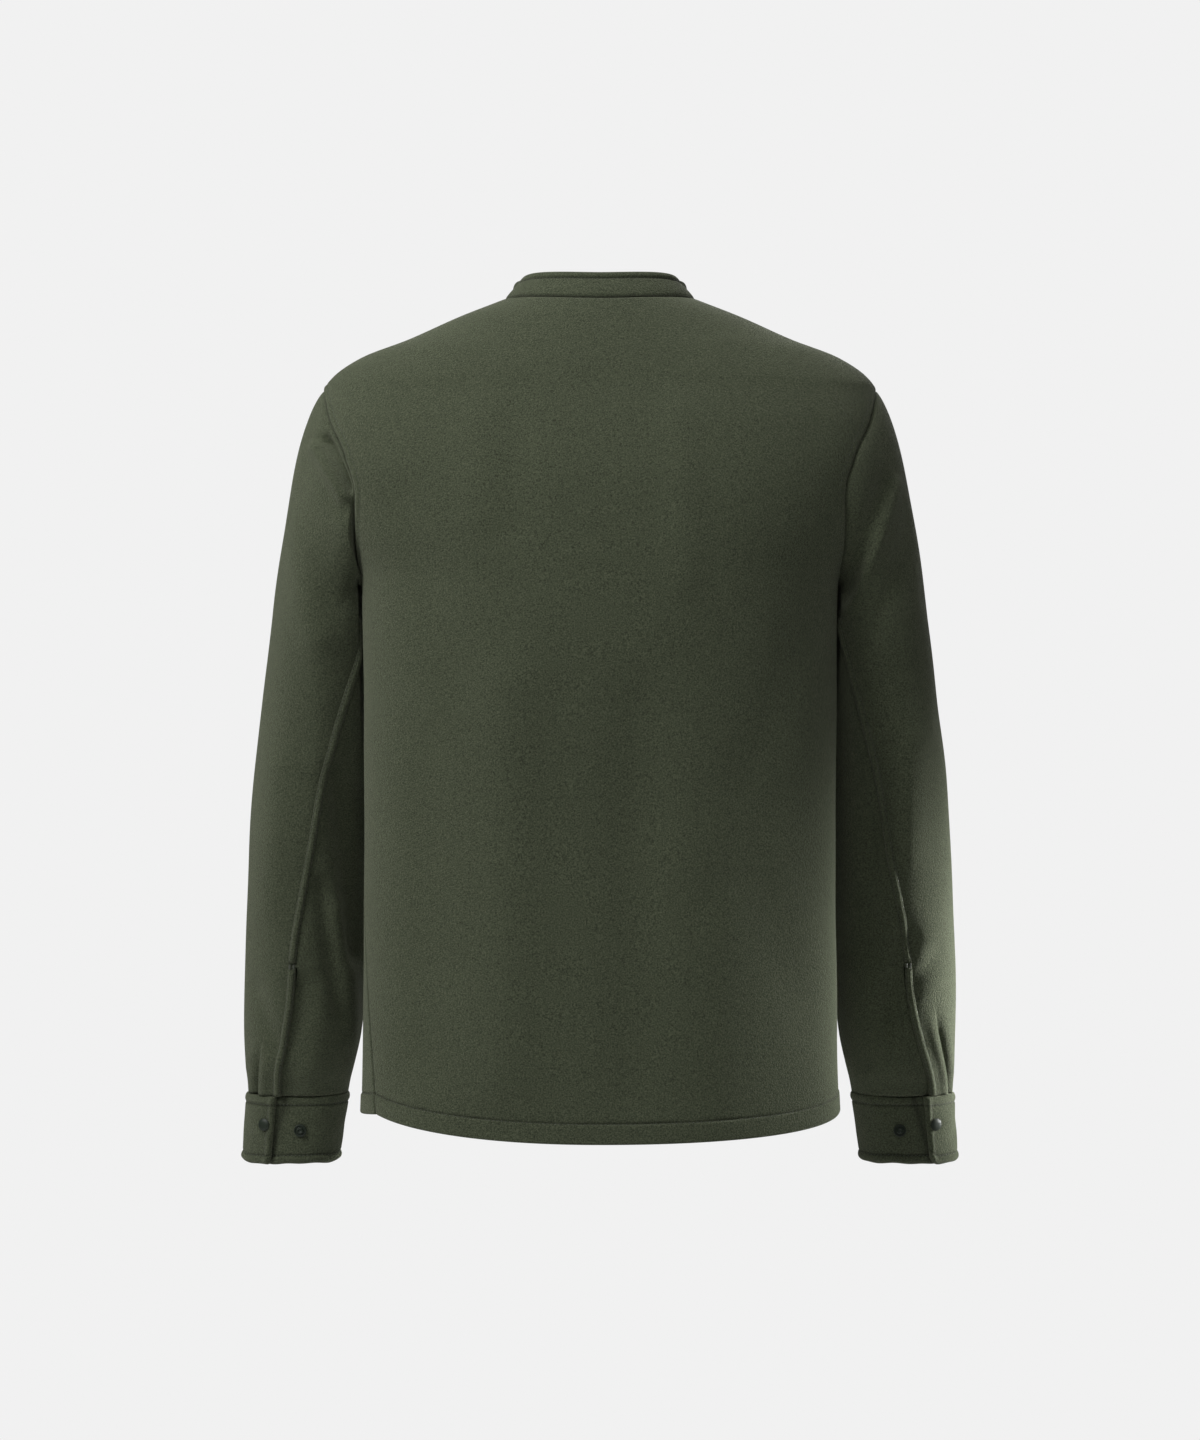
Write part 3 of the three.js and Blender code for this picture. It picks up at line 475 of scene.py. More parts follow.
def clearOfBody(points, clearance):
    # moves points straight out from the middle of the body until they are clear of it
    x, y, z = points[..., 0], points[..., 1], points[..., 2]
    away = y - bodyAt["mid"](z)
    power = bodyAt["power"](z)
    measure = (np.abs(x / (bodyAt["half"](z) + clearance)) ** power
               + np.abs(away / (depthAt(away, z) + clearance)) ** power)
    scale = np.where(measure < 1, np.maximum(measure, 1e-3) ** (-1 / power), 1)
    return np.stack([x * scale, bodyAt["mid"](z) + away * scale, z], -1)


# Rows of the panels: height at the side edge, at the centre back and at the centre front
lowerEdge = np.linspace(-666.5, -262, 10)[1:-1]
lowerShare = (lowerEdge + 666.5) / (666.5 - 262)
rowTable = {
    "edge": np.r_[-685, -682, -668.5, -666.5, lowerEdge, -262, -245, -240, -228, -210, -185, -158, -132,
                  -110, -93, -82, -76, -66, -50, -35, -22, -11, -4, 0],
    "back": np.r_[-702, -699, -685.5, -683.5, lowerEdge - mix(17, 8, lowerShare), -270, -250, -232, -214,
                  -196, -178, -160, -143, -128, -115, -105, -96, -84, -66, -48, -34, -22, -12.5, -6.5],
    "front": np.r_[-695, -692, -678.5, -676.5, lowerEdge - mix(10, 20, lowerShare), -282, -264, -250, -236,
                   -222, -206, -190, -176, -164, -155, -148, -142, -132, -118, -104, -93, -83.5, -77, -72],
}
rowTable["row"] = np.arange(len(rowTable["edge"]))
rowAt = makeCurves(rowTable, "row")
lastRow = len(rowTable["edge"]) - 1

panel = {
    "cloth": 2.2,
    "hemDepth": 16.8,      # turn-up, with one row of stitches along its top
    "hemPlump": 0.9,
    "edgeRound": 1.0,
    "overlapHalf": 15,
    "overlapColumns": 25,
    "overlapLift": 3.0,
    "backReach": 255,      # from the centre to the side along the cloth, to space the columns
    "frontReach": 275,
    "armholeStitch": 6.6,
    "hemLift": 1.6,
    # width, length and area of each flat cut, in metres
    "cut": {"back": (0.54, 0.72, 0.346), "front_left": (0.32, 0.70, 0.200),
            "front_right": (0.30, 0.70, 0.187)},
}

# Folds: face (1 back, -1 front), x1, z1, x2, z2, width, depth; ridges above 0, troughs below
bodyFolds = [
    (1, 100, -80, 98, -190, 16, 1.8),
    (1, 66, -80, 70, -200, 15, -1.4),
    (1, 160, -180, 118, -330, 22, -2.5),
    (1, -64, -60, -70, -240, 15, 2.2),
    (1, -88, -80, -100, -240, 46, 2.0),
    (1, -176, -270, -120, -410, 20, -1.8),
    (1, -145, -430, -85, -510, 20, -1.7),
    (1, -128, -490, -166, -600, 20, -2.4),
    (1, 72, -330, 78, -655, 27, 4.5),
    (1, -34, -350, -30, -660, 27, -4.5),
    (1, 140, -380, 142, -640, 24, -2.5),
    (-1, 150, -170, 100, -340, 24, -3.5),
    (-1, -148, -165, -104, -330, 24, -3.0),
    (-1, 92, -340, 86, -640, 32, 3.5),
    (-1, -88, -360, -96, -630, 32, 3.0),
    (-1, 140, -380, 142, -620, 24, -3.0),
    (-1, -142, -350, -138, -640, 24, -2.5),
]


def bodyCalm(z):
    # the folds fade out below the shoulders' top and above the hem
    return smoothStep(-60, -120, z) * smoothStep(-700, -640, z)


def panelGrids(angle, z, lift):
    # surface points moved out by the folds and slow waves, with the normals and the plain surface
    point, normal = bodyPoint(angle, z), bodyNormal(angle, z)
    x = point[..., 0]
    fold = bodyCalm(z) * foldHeight(bodyFolds, x, z, normal[..., 1])
    fold = fold + smoothStep(-40, -160, z) * softWaves(x, z, 7, 130, 0.7)
    return point + normal * (fold + lift)[..., None], normal, point


# Row numbers: close together in the hem, eight to a step up to the armholes, then five to a step
rowSteps = np.r_[np.linspace(0, 1, 8), np.linspace(1, 1.8, 6)[1:], np.linspace(1.8, 2, 6)[1:],
                 np.linspace(2, 3, 5)[1:], np.linspace(3, 12, 73)[1:],
                 np.linspace(12, lastRow, 91)[1:]][:, None]
edgeHeights = rowAt["edge"](rowSteps)[:, 0]
# Distances from a panel's edge at which it has a column of points, for its seams and ridge
edgeOffsets = np.array([0, 0.5, 1, 1.6, 2.3, 3.2, 4.2, 5.2, 6, 6.8, 7.8, 9.2, 11])


def backSurface():
    # each row bends from its height at the centre to that at the edge with share to the power 1.7
    row, near = rowSteps, 1 - edgeOffsets / panel["backReach"]
    half = np.r_[np.linspace(0, near[-1], 66)[:-1], near[::-1]]
    share = np.r_[-half[:0:-1], half][None]
    across = np.abs(share)
    edge, centre = rowAt["edge"](row), rowAt["back"](row)
    z = centre + (edge - centre) * across ** 1.7
    edgeAngle = edgeAngleAt(edge, share, 1)
    edgeX = bodyPoint(edgeAngle, edge)[..., 0]
    turning = mix(np.pi / 2, edgeAngle, across)
    angle = mix(turning, angleAtWidth(across * edgeX, z), smoothStep(-200, shoulderTip, edge))
    angle = np.where(share < 0, np.pi - angle, angle)
    return panelGrids(angle, z, 0)


def frontSurface(side):
    # as the back with power 2.6, after the even columns of the overlap; the left front is lifted
    row = rowSteps
    half, edge, centre = panel["overlapHalf"], rowAt["edge"](row), rowAt["front"](row)
    edgeAngle = edgeAngleAt(edge, side, -1)
    edgeX = bodyPoint(edgeAngle, edge)[..., 0]

    def heightAt(share):
        return centre + (edge - centre) * share ** 2.6
    nearX = np.linspace(-half, half, panel["overlapColumns"])[None]
    nearZ = heightAt(np.abs(nearX) / edgeX)
    nearAngle = -angleAtWidth(nearX, nearZ)
    near = 1 - edgeOffsets[::-1] / panel["frontReach"]
    step = np.r_[np.linspace(0, near[0], 64)[1:-1], near][None]
    share = mix(half / edgeX, 1, step)
    farZ = heightAt(share)
    turning = mix(-angleAtWidth(half, farZ), edgeAngle, step)
    widening = -angleAtWidth(share * edgeX, farZ)
    farAngle = mix(turning, widening, smoothStep(-200, shoulderTip, edge))
    angle, z = np.concatenate([nearAngle, farAngle], 1), np.concatenate([nearZ, farZ], 1)
    x = bodyPoint(angle, z)[..., 0]
    angle = angle if side > 0 else np.pi - angle
    full = (panel["overlapLift"] + panel["hemLift"] * (1 - smoothStep(-667.5, -665, edge))) if side > 0 else 0
    return panelGrids(angle, z, full * (1 - smoothStep(16, 40, x)))


def hemShape(row):
    # height above the hem edge gives how far the outer and inner faces stand off: a plump
    # turn-up, pulled in under its stitches and rounded at the edge
    height = rowAt["edge"](row) - rowTable["edge"][0]
    plump = panel["hemPlump"] * (1 - smoothStep(14.5, 18.5, height))
    groove = bell(height, panel["hemDepth"], 1.0)
    ending = panel["edgeRound"] * 1.5 * (1 - roundedEdge(height, 2.0, 0))
    return plump - 1.1 * groove - ending, panel["cloth"] + 0.9 * plump - ending, groove


inArmhole = (edgeHeights >= armholeBottom) & (edgeHeights <= shoulderTip)
belowArmhole, aboveArmhole = edgeHeights <= armholeBottom, edgeHeights >= shoulderTip
surfaces = {"back": backSurface(), "front_left": frontSurface(1), "front_right": frontSurface(-1)}
sideColumns = {"back": (0, -1), "front_left": (-1,), "front_right": (-1,)}


def nearest(points, lines):
    # least distance to any of the lines
    return np.minimum.reduce([lineDistance(points, line) for line in lines])


def makePanel(name):
    # cloth rolls in along its seams, and stands up as a felled ridge beside the armhole
    points, normals = surfaces[name][:2]
    columns = sideColumns[name]
    out, back, groove = hemShape(rowSteps)
    seams = [points[-1]] + [points[rows, c] for rows in (belowArmhole, aboveArmhole) for c in columns]
    seam = nearest(points, seams)
    armhole = nearest(points, [points[inArmhole, c] for c in columns])
    strong = np.where(points[..., 0] > 0, 1, 0.3)       # it shows more on the left arm
    ridge = 0.6 * strong * smoothStep(0.6, 2.2, armhole) * (1 - smoothStep(5.0, 6.4, armhole))
    ridge = ridge - 0.3 * strong * bell(armhole, panel["armholeStitch"], 1.2)
    ridge = ridge - 0.8 * bell(armhole, 0, 1.5) - 0.9 * bell(seam, 0, 1.3)
    pucker = groove * softWaves(points[..., 0] * 3, points[..., 1] * 3, 3, 30, 0.8)
    outer = points + normals * (out + ridge + pucker)[..., None]
    inner = points - normals * back[..., None]
    # painted shade in the hem groove, along the seams and at the armhole stitches, where the pile is also
    # pressed
    pressedAndShade = (0.45 * groove + 0.4 * bell(seam, 0, 1.3) + 0.3 * bell(armhole, 0, 1.3)
               + 0.12 * strong * bell(armhole, panel["armholeStitch"], 0.9))
    piece = wallPiece(name, outer, inner, np.clip(pressedAndShade, 0, 1))
    print(name, "made")
    return piece, outer, armhole


panels = {name: makePanel(name) for name in surfaces}


def armholeStitches(name, column):
    # the line one stitch distance in from the armhole edge, found along each row of the armhole
    wanted = panel["armholeStitch"]
    normals = surfaces[name][1]
    outer, armhole = panels[name][1:]
    inward = slice(0, 40) if column == 0 else slice(-1, -40, -1)
    path, facing = [], []
    for r in np.flatnonzero(inArmhole):
        away, row, up = armhole[r, inward], outer[r, inward], normals[r, inward]
        last = np.argmax(away > 9)
        if away.max() > 9 and away[:last].min() < 6:
            start = np.argmin(away[:last])
            near = slice(start, last + 1)
            path.append(sampleLine(wanted, away[near], row[near]))
            facing.append(sampleLine(wanted, away[near], up[near]))
    return np.array(path), np.array(facing)


hemRow = closest(rowSteps[:, 0], 2)
panelStitches = [(panels[name][1][hemRow], surfaces[name][1][hemRow]) for name in surfaces]
panelStitches += [armholeStitches(name, column) for name in surfaces for column in sideColumns[name]]
panelThread = stitchPiece("panel_stitches", panelStitches)
print("hem and armhole stitches made")

# Placket: a strip folded in at both edges and stitched down along them
placket = {"gap": 0.3, "thick": 1.5, "stitchAt": 11.5, "flatHalf": 13.6, "edgeRound": 1.4,
           "cut": (0.031, 0.645, 0.0198)}
placketRows = rowSteps[:, 0] >= 0.9
placketBase = panels["front_left"][1][placketRows, :panel["overlapColumns"]]
placketUp = surfaces["front_left"][1][placketRows, :panel["overlapColumns"]]
acrossPlacket = np.tile(np.linspace(-panel["overlapHalf"], panel["overlapHalf"], panel["overlapColumns"]),
                        (len(placketBase), 1))
placketFall = np.clip((np.abs(acrossPlacket) - placket["flatHalf"]) / placket["edgeRound"], 0, 1)
placketEdge = np.sqrt(1 - placketFall ** 2)
placketGroove = bell(np.abs(acrossPlacket), placket["stitchAt"], 0.9)
placketTop = placket["gap"] + placket["thick"] * (0.35 + 0.65 * placketEdge) - 0.5 * placketGroove
placketOuter = placketBase + placketUp * placketTop[..., None]
# painted shade in the stitch grooves, where the pile is also pressed
placketPiece = wallPiece("placket", placketOuter, placketBase + placketUp * placket["gap"],
                         0.6 * placketGroove, node="front_placket")
placketLines = [closest(acrossPlacket[0], side * placket["stitchAt"]) for side in (-1, 1)]
placketThread = stitchPiece("placket_stitches",
                            [(placketOuter[:, c], placketUp[:, c]) for c in placketLines])
print("placket made")

# Collar: stands on the neck edge and leans in; a plump roll above its top stitches
collar = {"backHeight": 23, "sideHeight": 18.5, "sideLean": 17.5, "backLean": 11, "frontLean": 8,
          "thick": 4.0, "stitchBelowTop": 6.0, "topRound": 2.6, "endRound": 2, "frontLap": 5,
          "snapShare": 0.475, "columns": 260, "cut": (0.52, 0.0255, 0.0131)}


def neckLine():
    # neck edge from the left front round the back to the right front, with how far it laps
    lines = []
    for name, order, part in (("front_left", 1, slice(0, -1)), ("back", -1, slice(None)),
                              ("front_right", -1, slice(1, None))):
        points, normals, plain = (grid[-1] for grid in surfaces[name])
        over = collar["frontLap"] * (1 - smoothStep(16, 50, plain[:, :1])) * (name == "front_left")
        lines.append(np.concatenate([plain, points, normals, over], 1)[::order][part])
    line = np.concatenate(lines)
    length = lengths(line[:, :3])
    places = np.linspace(0, length[-1], collar["columns"])
    even = np.stack([np.interp(places, length, column) for column in line.T], 1)
    return even[:, :3], even[:, 3:6], even[:, 6:9], even[:, 9], places


neckPlain, neckOuter, neckUp, neckLap, neckPlaces = neckLine()
level = unit(neckUp * np.array([1, 1, 0]))
collarShare = np.r_[0, 0.02, 0.045, 0.08, np.linspace(0.12, 0.66, 14), np.linspace(0.68, 0.84, 9),
                    np.linspace(0.86, 0.97, 6), 0.98, 0.988, 0.994, 0.998, 1][:, None]
endLean = np.where(level[:, 1] > 0, collar["backLean"], collar["frontLean"])
lean = mix(endLean, collar["sideLean"], level[:, 0] ** 2)
height = mix(collar["backHeight"], collar["sideHeight"], level[:, 0] ** 2)
collarUp = unit(np.stack([level[:, 0] * height, level[:, 1] * height, lean], 1))[None]
collarBase = neckPlain[None] + level[None] * (neckLap - lean * collarShare)[..., None]
collarBase[..., 2] = neckOuter[:, 2] + seamGap + 0.3 * neckLap + height * collarShare
fromTop = height * (1 - collarShare)
fromEnd = np.minimum(neckPlaces, neckPlaces[-1] - neckPlaces)[None]
rounding = roundedEdge(fromTop, collar["topRound"], 0.002) * roundedEdge(fromEnd, collar["endRound"], 0.02)
collarGroove = bell(fromTop, collar["stitchBelowTop"], 0.9)
footGroove = bell(height * collarShare, 0, 1.6)
puff = 0.7 * smoothStep(5.6, 3.6, fromTop) - 0.8 * collarGroove - 0.9 * footGroove
puff = puff + 0.35 * bell(height * collarShare, 7, 4)
middle = collarBase - collarUp * (collar["thick"] / 2)
collarOuter = middle + collarUp * (rounding * (collar["thick"] / 2 + puff))[..., None]
collarInner = middle - collarUp * (rounding * (collar["thick"] / 2 + 0.6 * puff))[..., None]
# painted shade in the stitch groove and at the collar's foot seam, where the pile is also pressed
collarPiece = wallPiece("collar", collarOuter, collarInner,
                        np.clip(0.8 * collarGroove + 0.8 * footGroove, 0, 1))
collarStitchRow = closest(collar["backHeight"] * (1 - collarShare[:, 0]), collar["stitchBelowTop"])
collarThread = stitchPiece("collar_stitches", [(collarOuter[collarStitchRow], collarUp[0])])
print("collar made")


# Sleeves, worked out on the left side and mirrored for the right
sleeveTable = {
    "z": [-690, -676, -661, -633, -604, -550, -480, -410, -340, -271],
    "inner": [223, 220.5, 216.7, 210.6, 207, 203, 199, 196, 192, 188],
    "outer": [310, 310.8, 312.4, 312.8, 312.5, 311, 307, 302, 292.6, 282.8],
    "depth": [36, 40, 46, 51, 54, 58, 64, 68, 74, 79],
    "mid": [-80, -79, -77.5, -75, -72, -67, -60, -52, -42, -32],
    "seam": [74.5, 75, 76, 78, 81, 87, 98, 108, 121.5, 138],
    "leftSway": [0, 0, 0.5, 3, 4, 1, 0, 0, 0, 0],        # degrees that the seam strays from its line
    "rightSway": [-14, -12, -8, -1, 2, 0, 0, 0, 0, 0],
}
sleeveAt = makeCurves(sleeveTable)
sleeve = {
    "topRing": -271,
    "weltFoot": -567,
    "tackAt": -569.5,
    "slitTop": -570,
    "bindingTop": -572,
    "clearance": 3.5,
    "pleatAt": 26,
    "pleatDepth": 6,
    "pleatTop": {1: -632, -1: -600},
    "slitExtension": 10,
    "slitDrop": 3.2,
    "outerLine": 0.355,
    "centre": (225, 0, -160),
    "cut": (0.45, 0.62, 0.196),
    "seamColumns": (0, 3.4, 6.8, 12, 18, 22.5, 26, 29.5),
}
# Folds as on the body
leftSleeveFolds = [
    (1, 229, -124, 205, -166, 4.5, -10),
    (1, 237, -130, 212, -172, 6, 6),
    (1, 262, -190, 240, -290, 14, 3),
    (1, 232, -290, 234, -390, 15, 4),
    (1, 208, -200, 208, -400, 16, 8),
    (1, 224, -400, 211, -560, 9, -6),
    (1, 239, -500, 224, -614, 8, -4),
    (1, 226, -520, 214, -640, 8, 4),
    (1, 276, -400, 286, -520, 16, 3),
    (1, 300, -590, 282, -640, 10, -3),
    (-1, 250, -170, 222, -262, 15, -5),
    (-1, 262, -360, 240, -470, 17, 4),
    (-1, 290, -430, 232, -500, 12, -5),
    (-1, 230, -560, 282, -640, 13, -4),
]
rightSleeveFolds = [
    (1, 249, -160, 211, -266, 6, 4.5),
    (1, 238, -160, 207, -250, 9, -4),
    (1, 264, -190, 230, -285, 9, -3),
    (1, 270, -200, 262, -300, 8, 2),
    (1, 278, -270, 276, -370, 12, 3),
    (1, 265, -380, 262, -470, 15, 4.5),
    (1, 240, -320, 240, -470, 14, -3),
    (1, 262, -550, 227, -660, 14, -6),
    (1, 292, -560, 250, -610, 10, -3),
    (1, 230, -450, 232, -560, 12, -4),
    (-1, 254, -160, 226, -255, 14, -5),
    (-1, 284, -380, 236, -440, 13, -5),
    (-1, 244, -500, 268, -600, 18, 4),
    (-1, 284, -600, 236, -656, 13, -4),
]


def ovalTrack(z, centre, half, middle, depth, startDegrees):
    # oval section measured along its edge from the start angle, back side first: a point each
    # degree, from some before the start to some past the full turn
    lead, circle, past = 20, 360, 40
    turn = np.radians(startDegrees + np.arange(lead, -circle - past - 1, -1))
    points = np.stack([centre + half * np.cos(turn), middle + depth * np.sin(turn), 0 * turn + z], 1)
    normals = unit(np.stack([np.cos(turn) / half, np.sin(turn) / depth, 0 * turn], 1))
    length = lengths(points)
    length = length - length[lead]
    return length[lead + circle], lambda distances: trackAt(length, points, normals, distances)


def sleeveTrack(z, side):
    # the arm's oval at a height, measured from the seam
    inner, outer = sleeveAt["inner"](z), sleeveAt["outer"](z)
    seam = sleeveAt["seam"](z) + sleeveAt["leftSway" if side > 0 else "rightSway"](z)
    return ovalTrack(z, (inner + outer) / 2, (outer - inner) / 2, sleeveAt["mid"](z),
                     sleeveAt["depth"](z), seam)


def sleeveColumns(total, outerLine, extension):
    # distances round a section: close together beside the seam, then even to the outer line
    # and even again to the seam, each step cut in eight
    coarse = np.r_[sleeve["seamColumns"], np.linspace(32, outerLine, 10)[1:],
                   np.linspace(outerLine, total - 30, 11)[1:], total - 14, total - 4, total + extension]
    steps = len(coarse) - 1
    return np.interp(np.linspace(0, steps, 8 * steps + 1), np.arange(steps + 1), coarse)


def capGrid(side):
    # each column is a cubic curve from the armhole edge to the top section of the arm
    back, front = surfaces["back"], surfaces["front_left" if side > 0 else "front_right"]
    column = -1 if side > 0 else 0
    edge = np.concatenate([back[0][inArmhole, column], front[0][inArmhole, -1][::-1]])
    facing = np.concatenate([back[1][inArmhole, column], front[1][inArmhole, -1][::-1]])
    edge, facing = mirrored(side, edge, facing)
    length = lengths(edge)
    tip = length[inArmhole.sum() - 1]
    start, normal = trackAt(length, edge, facing, sleeveColumns(length[-1], tip, 0))
    toCentre = np.array(sleeve["centre"]) - start
    inward = unit(toCentre - normal * (toCentre * normal).sum(-1, keepdims=True))
    start = start + inward * 0.2
    total, at = sleeveTrack(sleeve["topRing"], side)
    end = at(sleeveColumns(total, total * sleeve["outerLine"], 0))[0]
    reach = np.linalg.norm(end - start, axis=1)[:, None]
    low = 1 - smoothStep(armholeBottom, -200, start[:, 2:])
    startPull = (normal * mix(0.52, 0.9, low) + inward * mix(0.8, 0.2, low)) * mix(0.46 * reach, 20, low)
    endPull = np.array([0.12, -0.12, -1]) * 0.9 * reach
    t = capSteps[:, None, None]
    rising = t * t * (3 - 2 * t)
    grid = start * (1 - rising) + end * rising + startPull * t * (1 - t) ** 2 + endPull * t * t * (t - 1)
    free = clearOfBody(grid, sleeve["clearance"] * smoothStep(0, 0.35, t[..., 0]))
    return mix(grid, free, smoothStep(armholeBottom + 12, armholeBottom - 2, grid[..., 2:])), normal


capSteps = np.r_[0, 0.006, 0.013, 0.022, 0.033, 0.047, 0.064, np.linspace(0.085, 1, 40)[:-1]]
armLevels = np.r_[np.linspace(sleeve["topRing"], sleeve["weltFoot"], 66), sleeve["tackAt"],
                  sleeve["bindingTop"], -574.5, np.linspace(-578, -685.6, 40)]
sleeveShare = np.r_[capSteps, np.ones(len(armLevels))]
sleeveJoined = np.r_[capSteps >= 0, armLevels > sleeve["slitTop"]]


def armGrid(side):
    # sections of the arm, with the pleat beside the slit and its lowered under edge
    pleatTop, slitTop = sleeve["pleatTop"][side], sleeve["slitTop"]
    rows, around = [], []
    for z in armLevels:
        total, at = sleeveTrack(z, side)
        opening = mix(-1.2, sleeve["slitExtension"], smoothStep(slitTop - 4, slitTop - 55, z))
        reach = opening if z < slitTop else 0
        distance = sleeveColumns(total, total * sleeve["outerLine"], reach)
        places, normals = at(distance)
        pleat = sleeve["pleatDepth"] * smoothStep(pleatTop, pleatTop - 48, z)
        aside = distance - sleeve["pleatAt"]
        shape = -bell(aside, 0, np.where(aside < 0, 1.5, 5.5))
        shape = shape + 0.35 * bell(aside, -8, 5) + 0.15 * bell(aside, 12, 5)
        lowered = sleeve["slitDrop"] * smoothStep(total - 30, total - 5, distance)
        lowered = lowered * smoothStep(slitTop, slitTop - 13, z)
        rows.append(places + normals * (pleat * shape - lowered)[:, None])
        around.append(np.minimum(distance, total - distance + 0.01))
    return clearOfBody(np.array(rows), sleeve["clearance"]), np.array(around)


def makeSleeve(side, name, folds):
    # cap and arm as one grid, moved out along its normals by the folds, with a wall inwards
    cap, edgeNormals = capGrid(side)
    arm, around = armGrid(side)
    grid = np.concatenate([cap, arm])
    normals = gridNormals(grid, sleeveJoined)
    share = sleeveShare[:, None]
    x, z = grid[..., 0], grid[..., 2]
    calm = smoothStep(0, 0.06, share) * smoothStep(-680, -645, z)
    fold = foldHeight(folds, x, z, normals[..., 1]) + softWaves(x, z + grid[..., 1], 11 + side, 90, 0.8)
    moved = grid + normals * (fold * calm)[..., None]
    moved = mix(moved, clearOfBody(moved, sleeve["clearance"]), smoothStep(0.4, 0.64, share)[..., None])
    normals = gridNormals(moved, sleeveJoined)
    # rolled in at the armhole seam, with painted shade there and beside the welt, where the pile is also
    # pressed
    seam = bell(lengths(moved), 0, 1.4)
    outer = moved - normals * seam[..., None]
    inward = normals.copy()
    inward[0] = unit(normals[0] + edgeNormals)
    inner = moved - inward * panel["cloth"]
    beside = np.zeros(seam.shape)
    beside[len(cap):] = bell(around, 0, 9) * (np.abs(around - 3.4) > 3.2)
    pressedAndShade = np.clip(0.3 * seam + 0.2 * beside, 0, 1)
    piece = wallPiece(name, outer, inner, pressedAndShade, sleeveJoined, side)
    print(name, "made")
    return piece, outer, normals


# Strips on the sleeve: the felled seam above the slit and the binding beside it, each a
# plump ridge between two lines of stitches
strip = {"gap": 0.3, "edge": 0.5, "plump": 2.0, "stitchAt": 0.7, "columns": 17, "stitchColumns": (2, 14),
         "endRound": 2.0, "weltCut": (0.010, 0.305, 0.0026), "bindingCut": (0.010, 0.114, 0.00099)}


def makeStrip(side, name, outer, normals, rows):
    # height above the cloth: 1 minus t to the power 2.5, with t from 0 at the middle to 1 at the edge
    base, up = outer[rows, :strip["columns"]], normals[rows, :strip["columns"]]
    t = np.abs(np.linspace(-1, 1, strip["columns"]))[None]
    along = lengths(base)
    ending = np.minimum(along, along[-1:] - along)
    rounded = roundedEdge(ending, strip["endRound"], 0.05)
    groove = bell(t, strip["stitchAt"], 0.13)
    height = strip["gap"] + strip["edge"] + strip["plump"] * (1 - t ** 2.5) * rounded - 0.45 * groove
    top = base + up * height[..., None]
    # painted shade in the stitch grooves and along the strip's edges where it meets the sleeve
    pressedAndShade = np.broadcast_to(0.25 * groove + 0.4 * bell(t, 1, 0.15), along.shape)
    piece = wallPiece(name, top, base + up * strip["gap"], pressedAndShade, side=side)
    return piece, [mirrored(side, top[:, c], up[:, c]) for c in strip["stitchColumns"]]


tack = {"threads": 8, "apart": 0.5, "raised": 2.1}


def barTack(side, outer, normals):
    # close threads across the top of the slit
    row = len(capSteps) + closest(armLevels, sleeve["tackAt"])
    base, up = outer[row, :strip["columns"]], normals[row, :strip["columns"]]
    lines = []
    for k in range(tack["threads"]):
        shift = np.array([0, 0, (k - (tack["threads"] - 1) / 2) * tack["apart"]])
        lines.append(mirrored(side, base + up * tack["raised"] + shift, up))
    return lines


for side, name, folds in ((1, "sleeve_left", leftSleeveFolds), (-1, "sleeve_right", rightSleeveFolds)):
    piece, outer, normals = makeSleeve(side, name, folds)
    start = len(capSteps)
    weltRows = start + np.flatnonzero(armLevels >= sleeve["weltFoot"])
    bindingRows = start + np.flatnonzero(armLevels <= sleeve["bindingTop"])
    welt, weltLines = makeStrip(side, name + "_welt", outer, normals, weltRows)
    binding, bindingLines = makeStrip(side, name + "_binding", outer, normals, bindingRows)
    sewn = stitchPiece(name + "_stitches", weltLines + bindingLines + barTack(side, outer, normals))
    print(name, "strips made")


# Cuffs: two plies, plump along both stitched edges, with the flap end over the under end
cuffTable = {"z": [-750, -686], "x": [273.8, 266.8], "half": [42, 44.5], "depth": [34.5, 36.5],
             "mid": [-85, -80]}
cuffAt = makeCurves(cuffTable)
cuff = {
    "top": -686,
    "height": 60,
    "overlap": 28,
    "flapDegrees": 70,
    "thick": 4.0,
    "stitchAt": 8.0,
    "flapStitchAt": 6.5,
    "topRound": 1.8,
    "footRound": 2.4,
    "endRound": 2.8,
    "cut": (0.276, 0.061, 0.0168),
    "capHeight": -711,
    "capDistance": 8.5,
    "studHeight": -716,
    "studDistance": -24,
    "spaced": (-716, 270, 43, -82, 35.5),      # z and oval that the columns are spaced round
}


def cuffFace(z, distance):
    # outer face of the cuff at a height, with its under end lowered beneath the flap
    total, at = ovalTrack(z, cuffAt["x"](z), cuffAt["half"](z), cuffAt["mid"](z), cuffAt["depth"](z),
                          cuff["flapDegrees"])
    along = np.where(distance < 0, total + distance, distance)
    places, normals = at(along)
    lowered = (cuff["thick"] + 0.8) * smoothStep(total - 46, total - 4, along)
    return places + normals * (1 - lowered)[:, None], normals


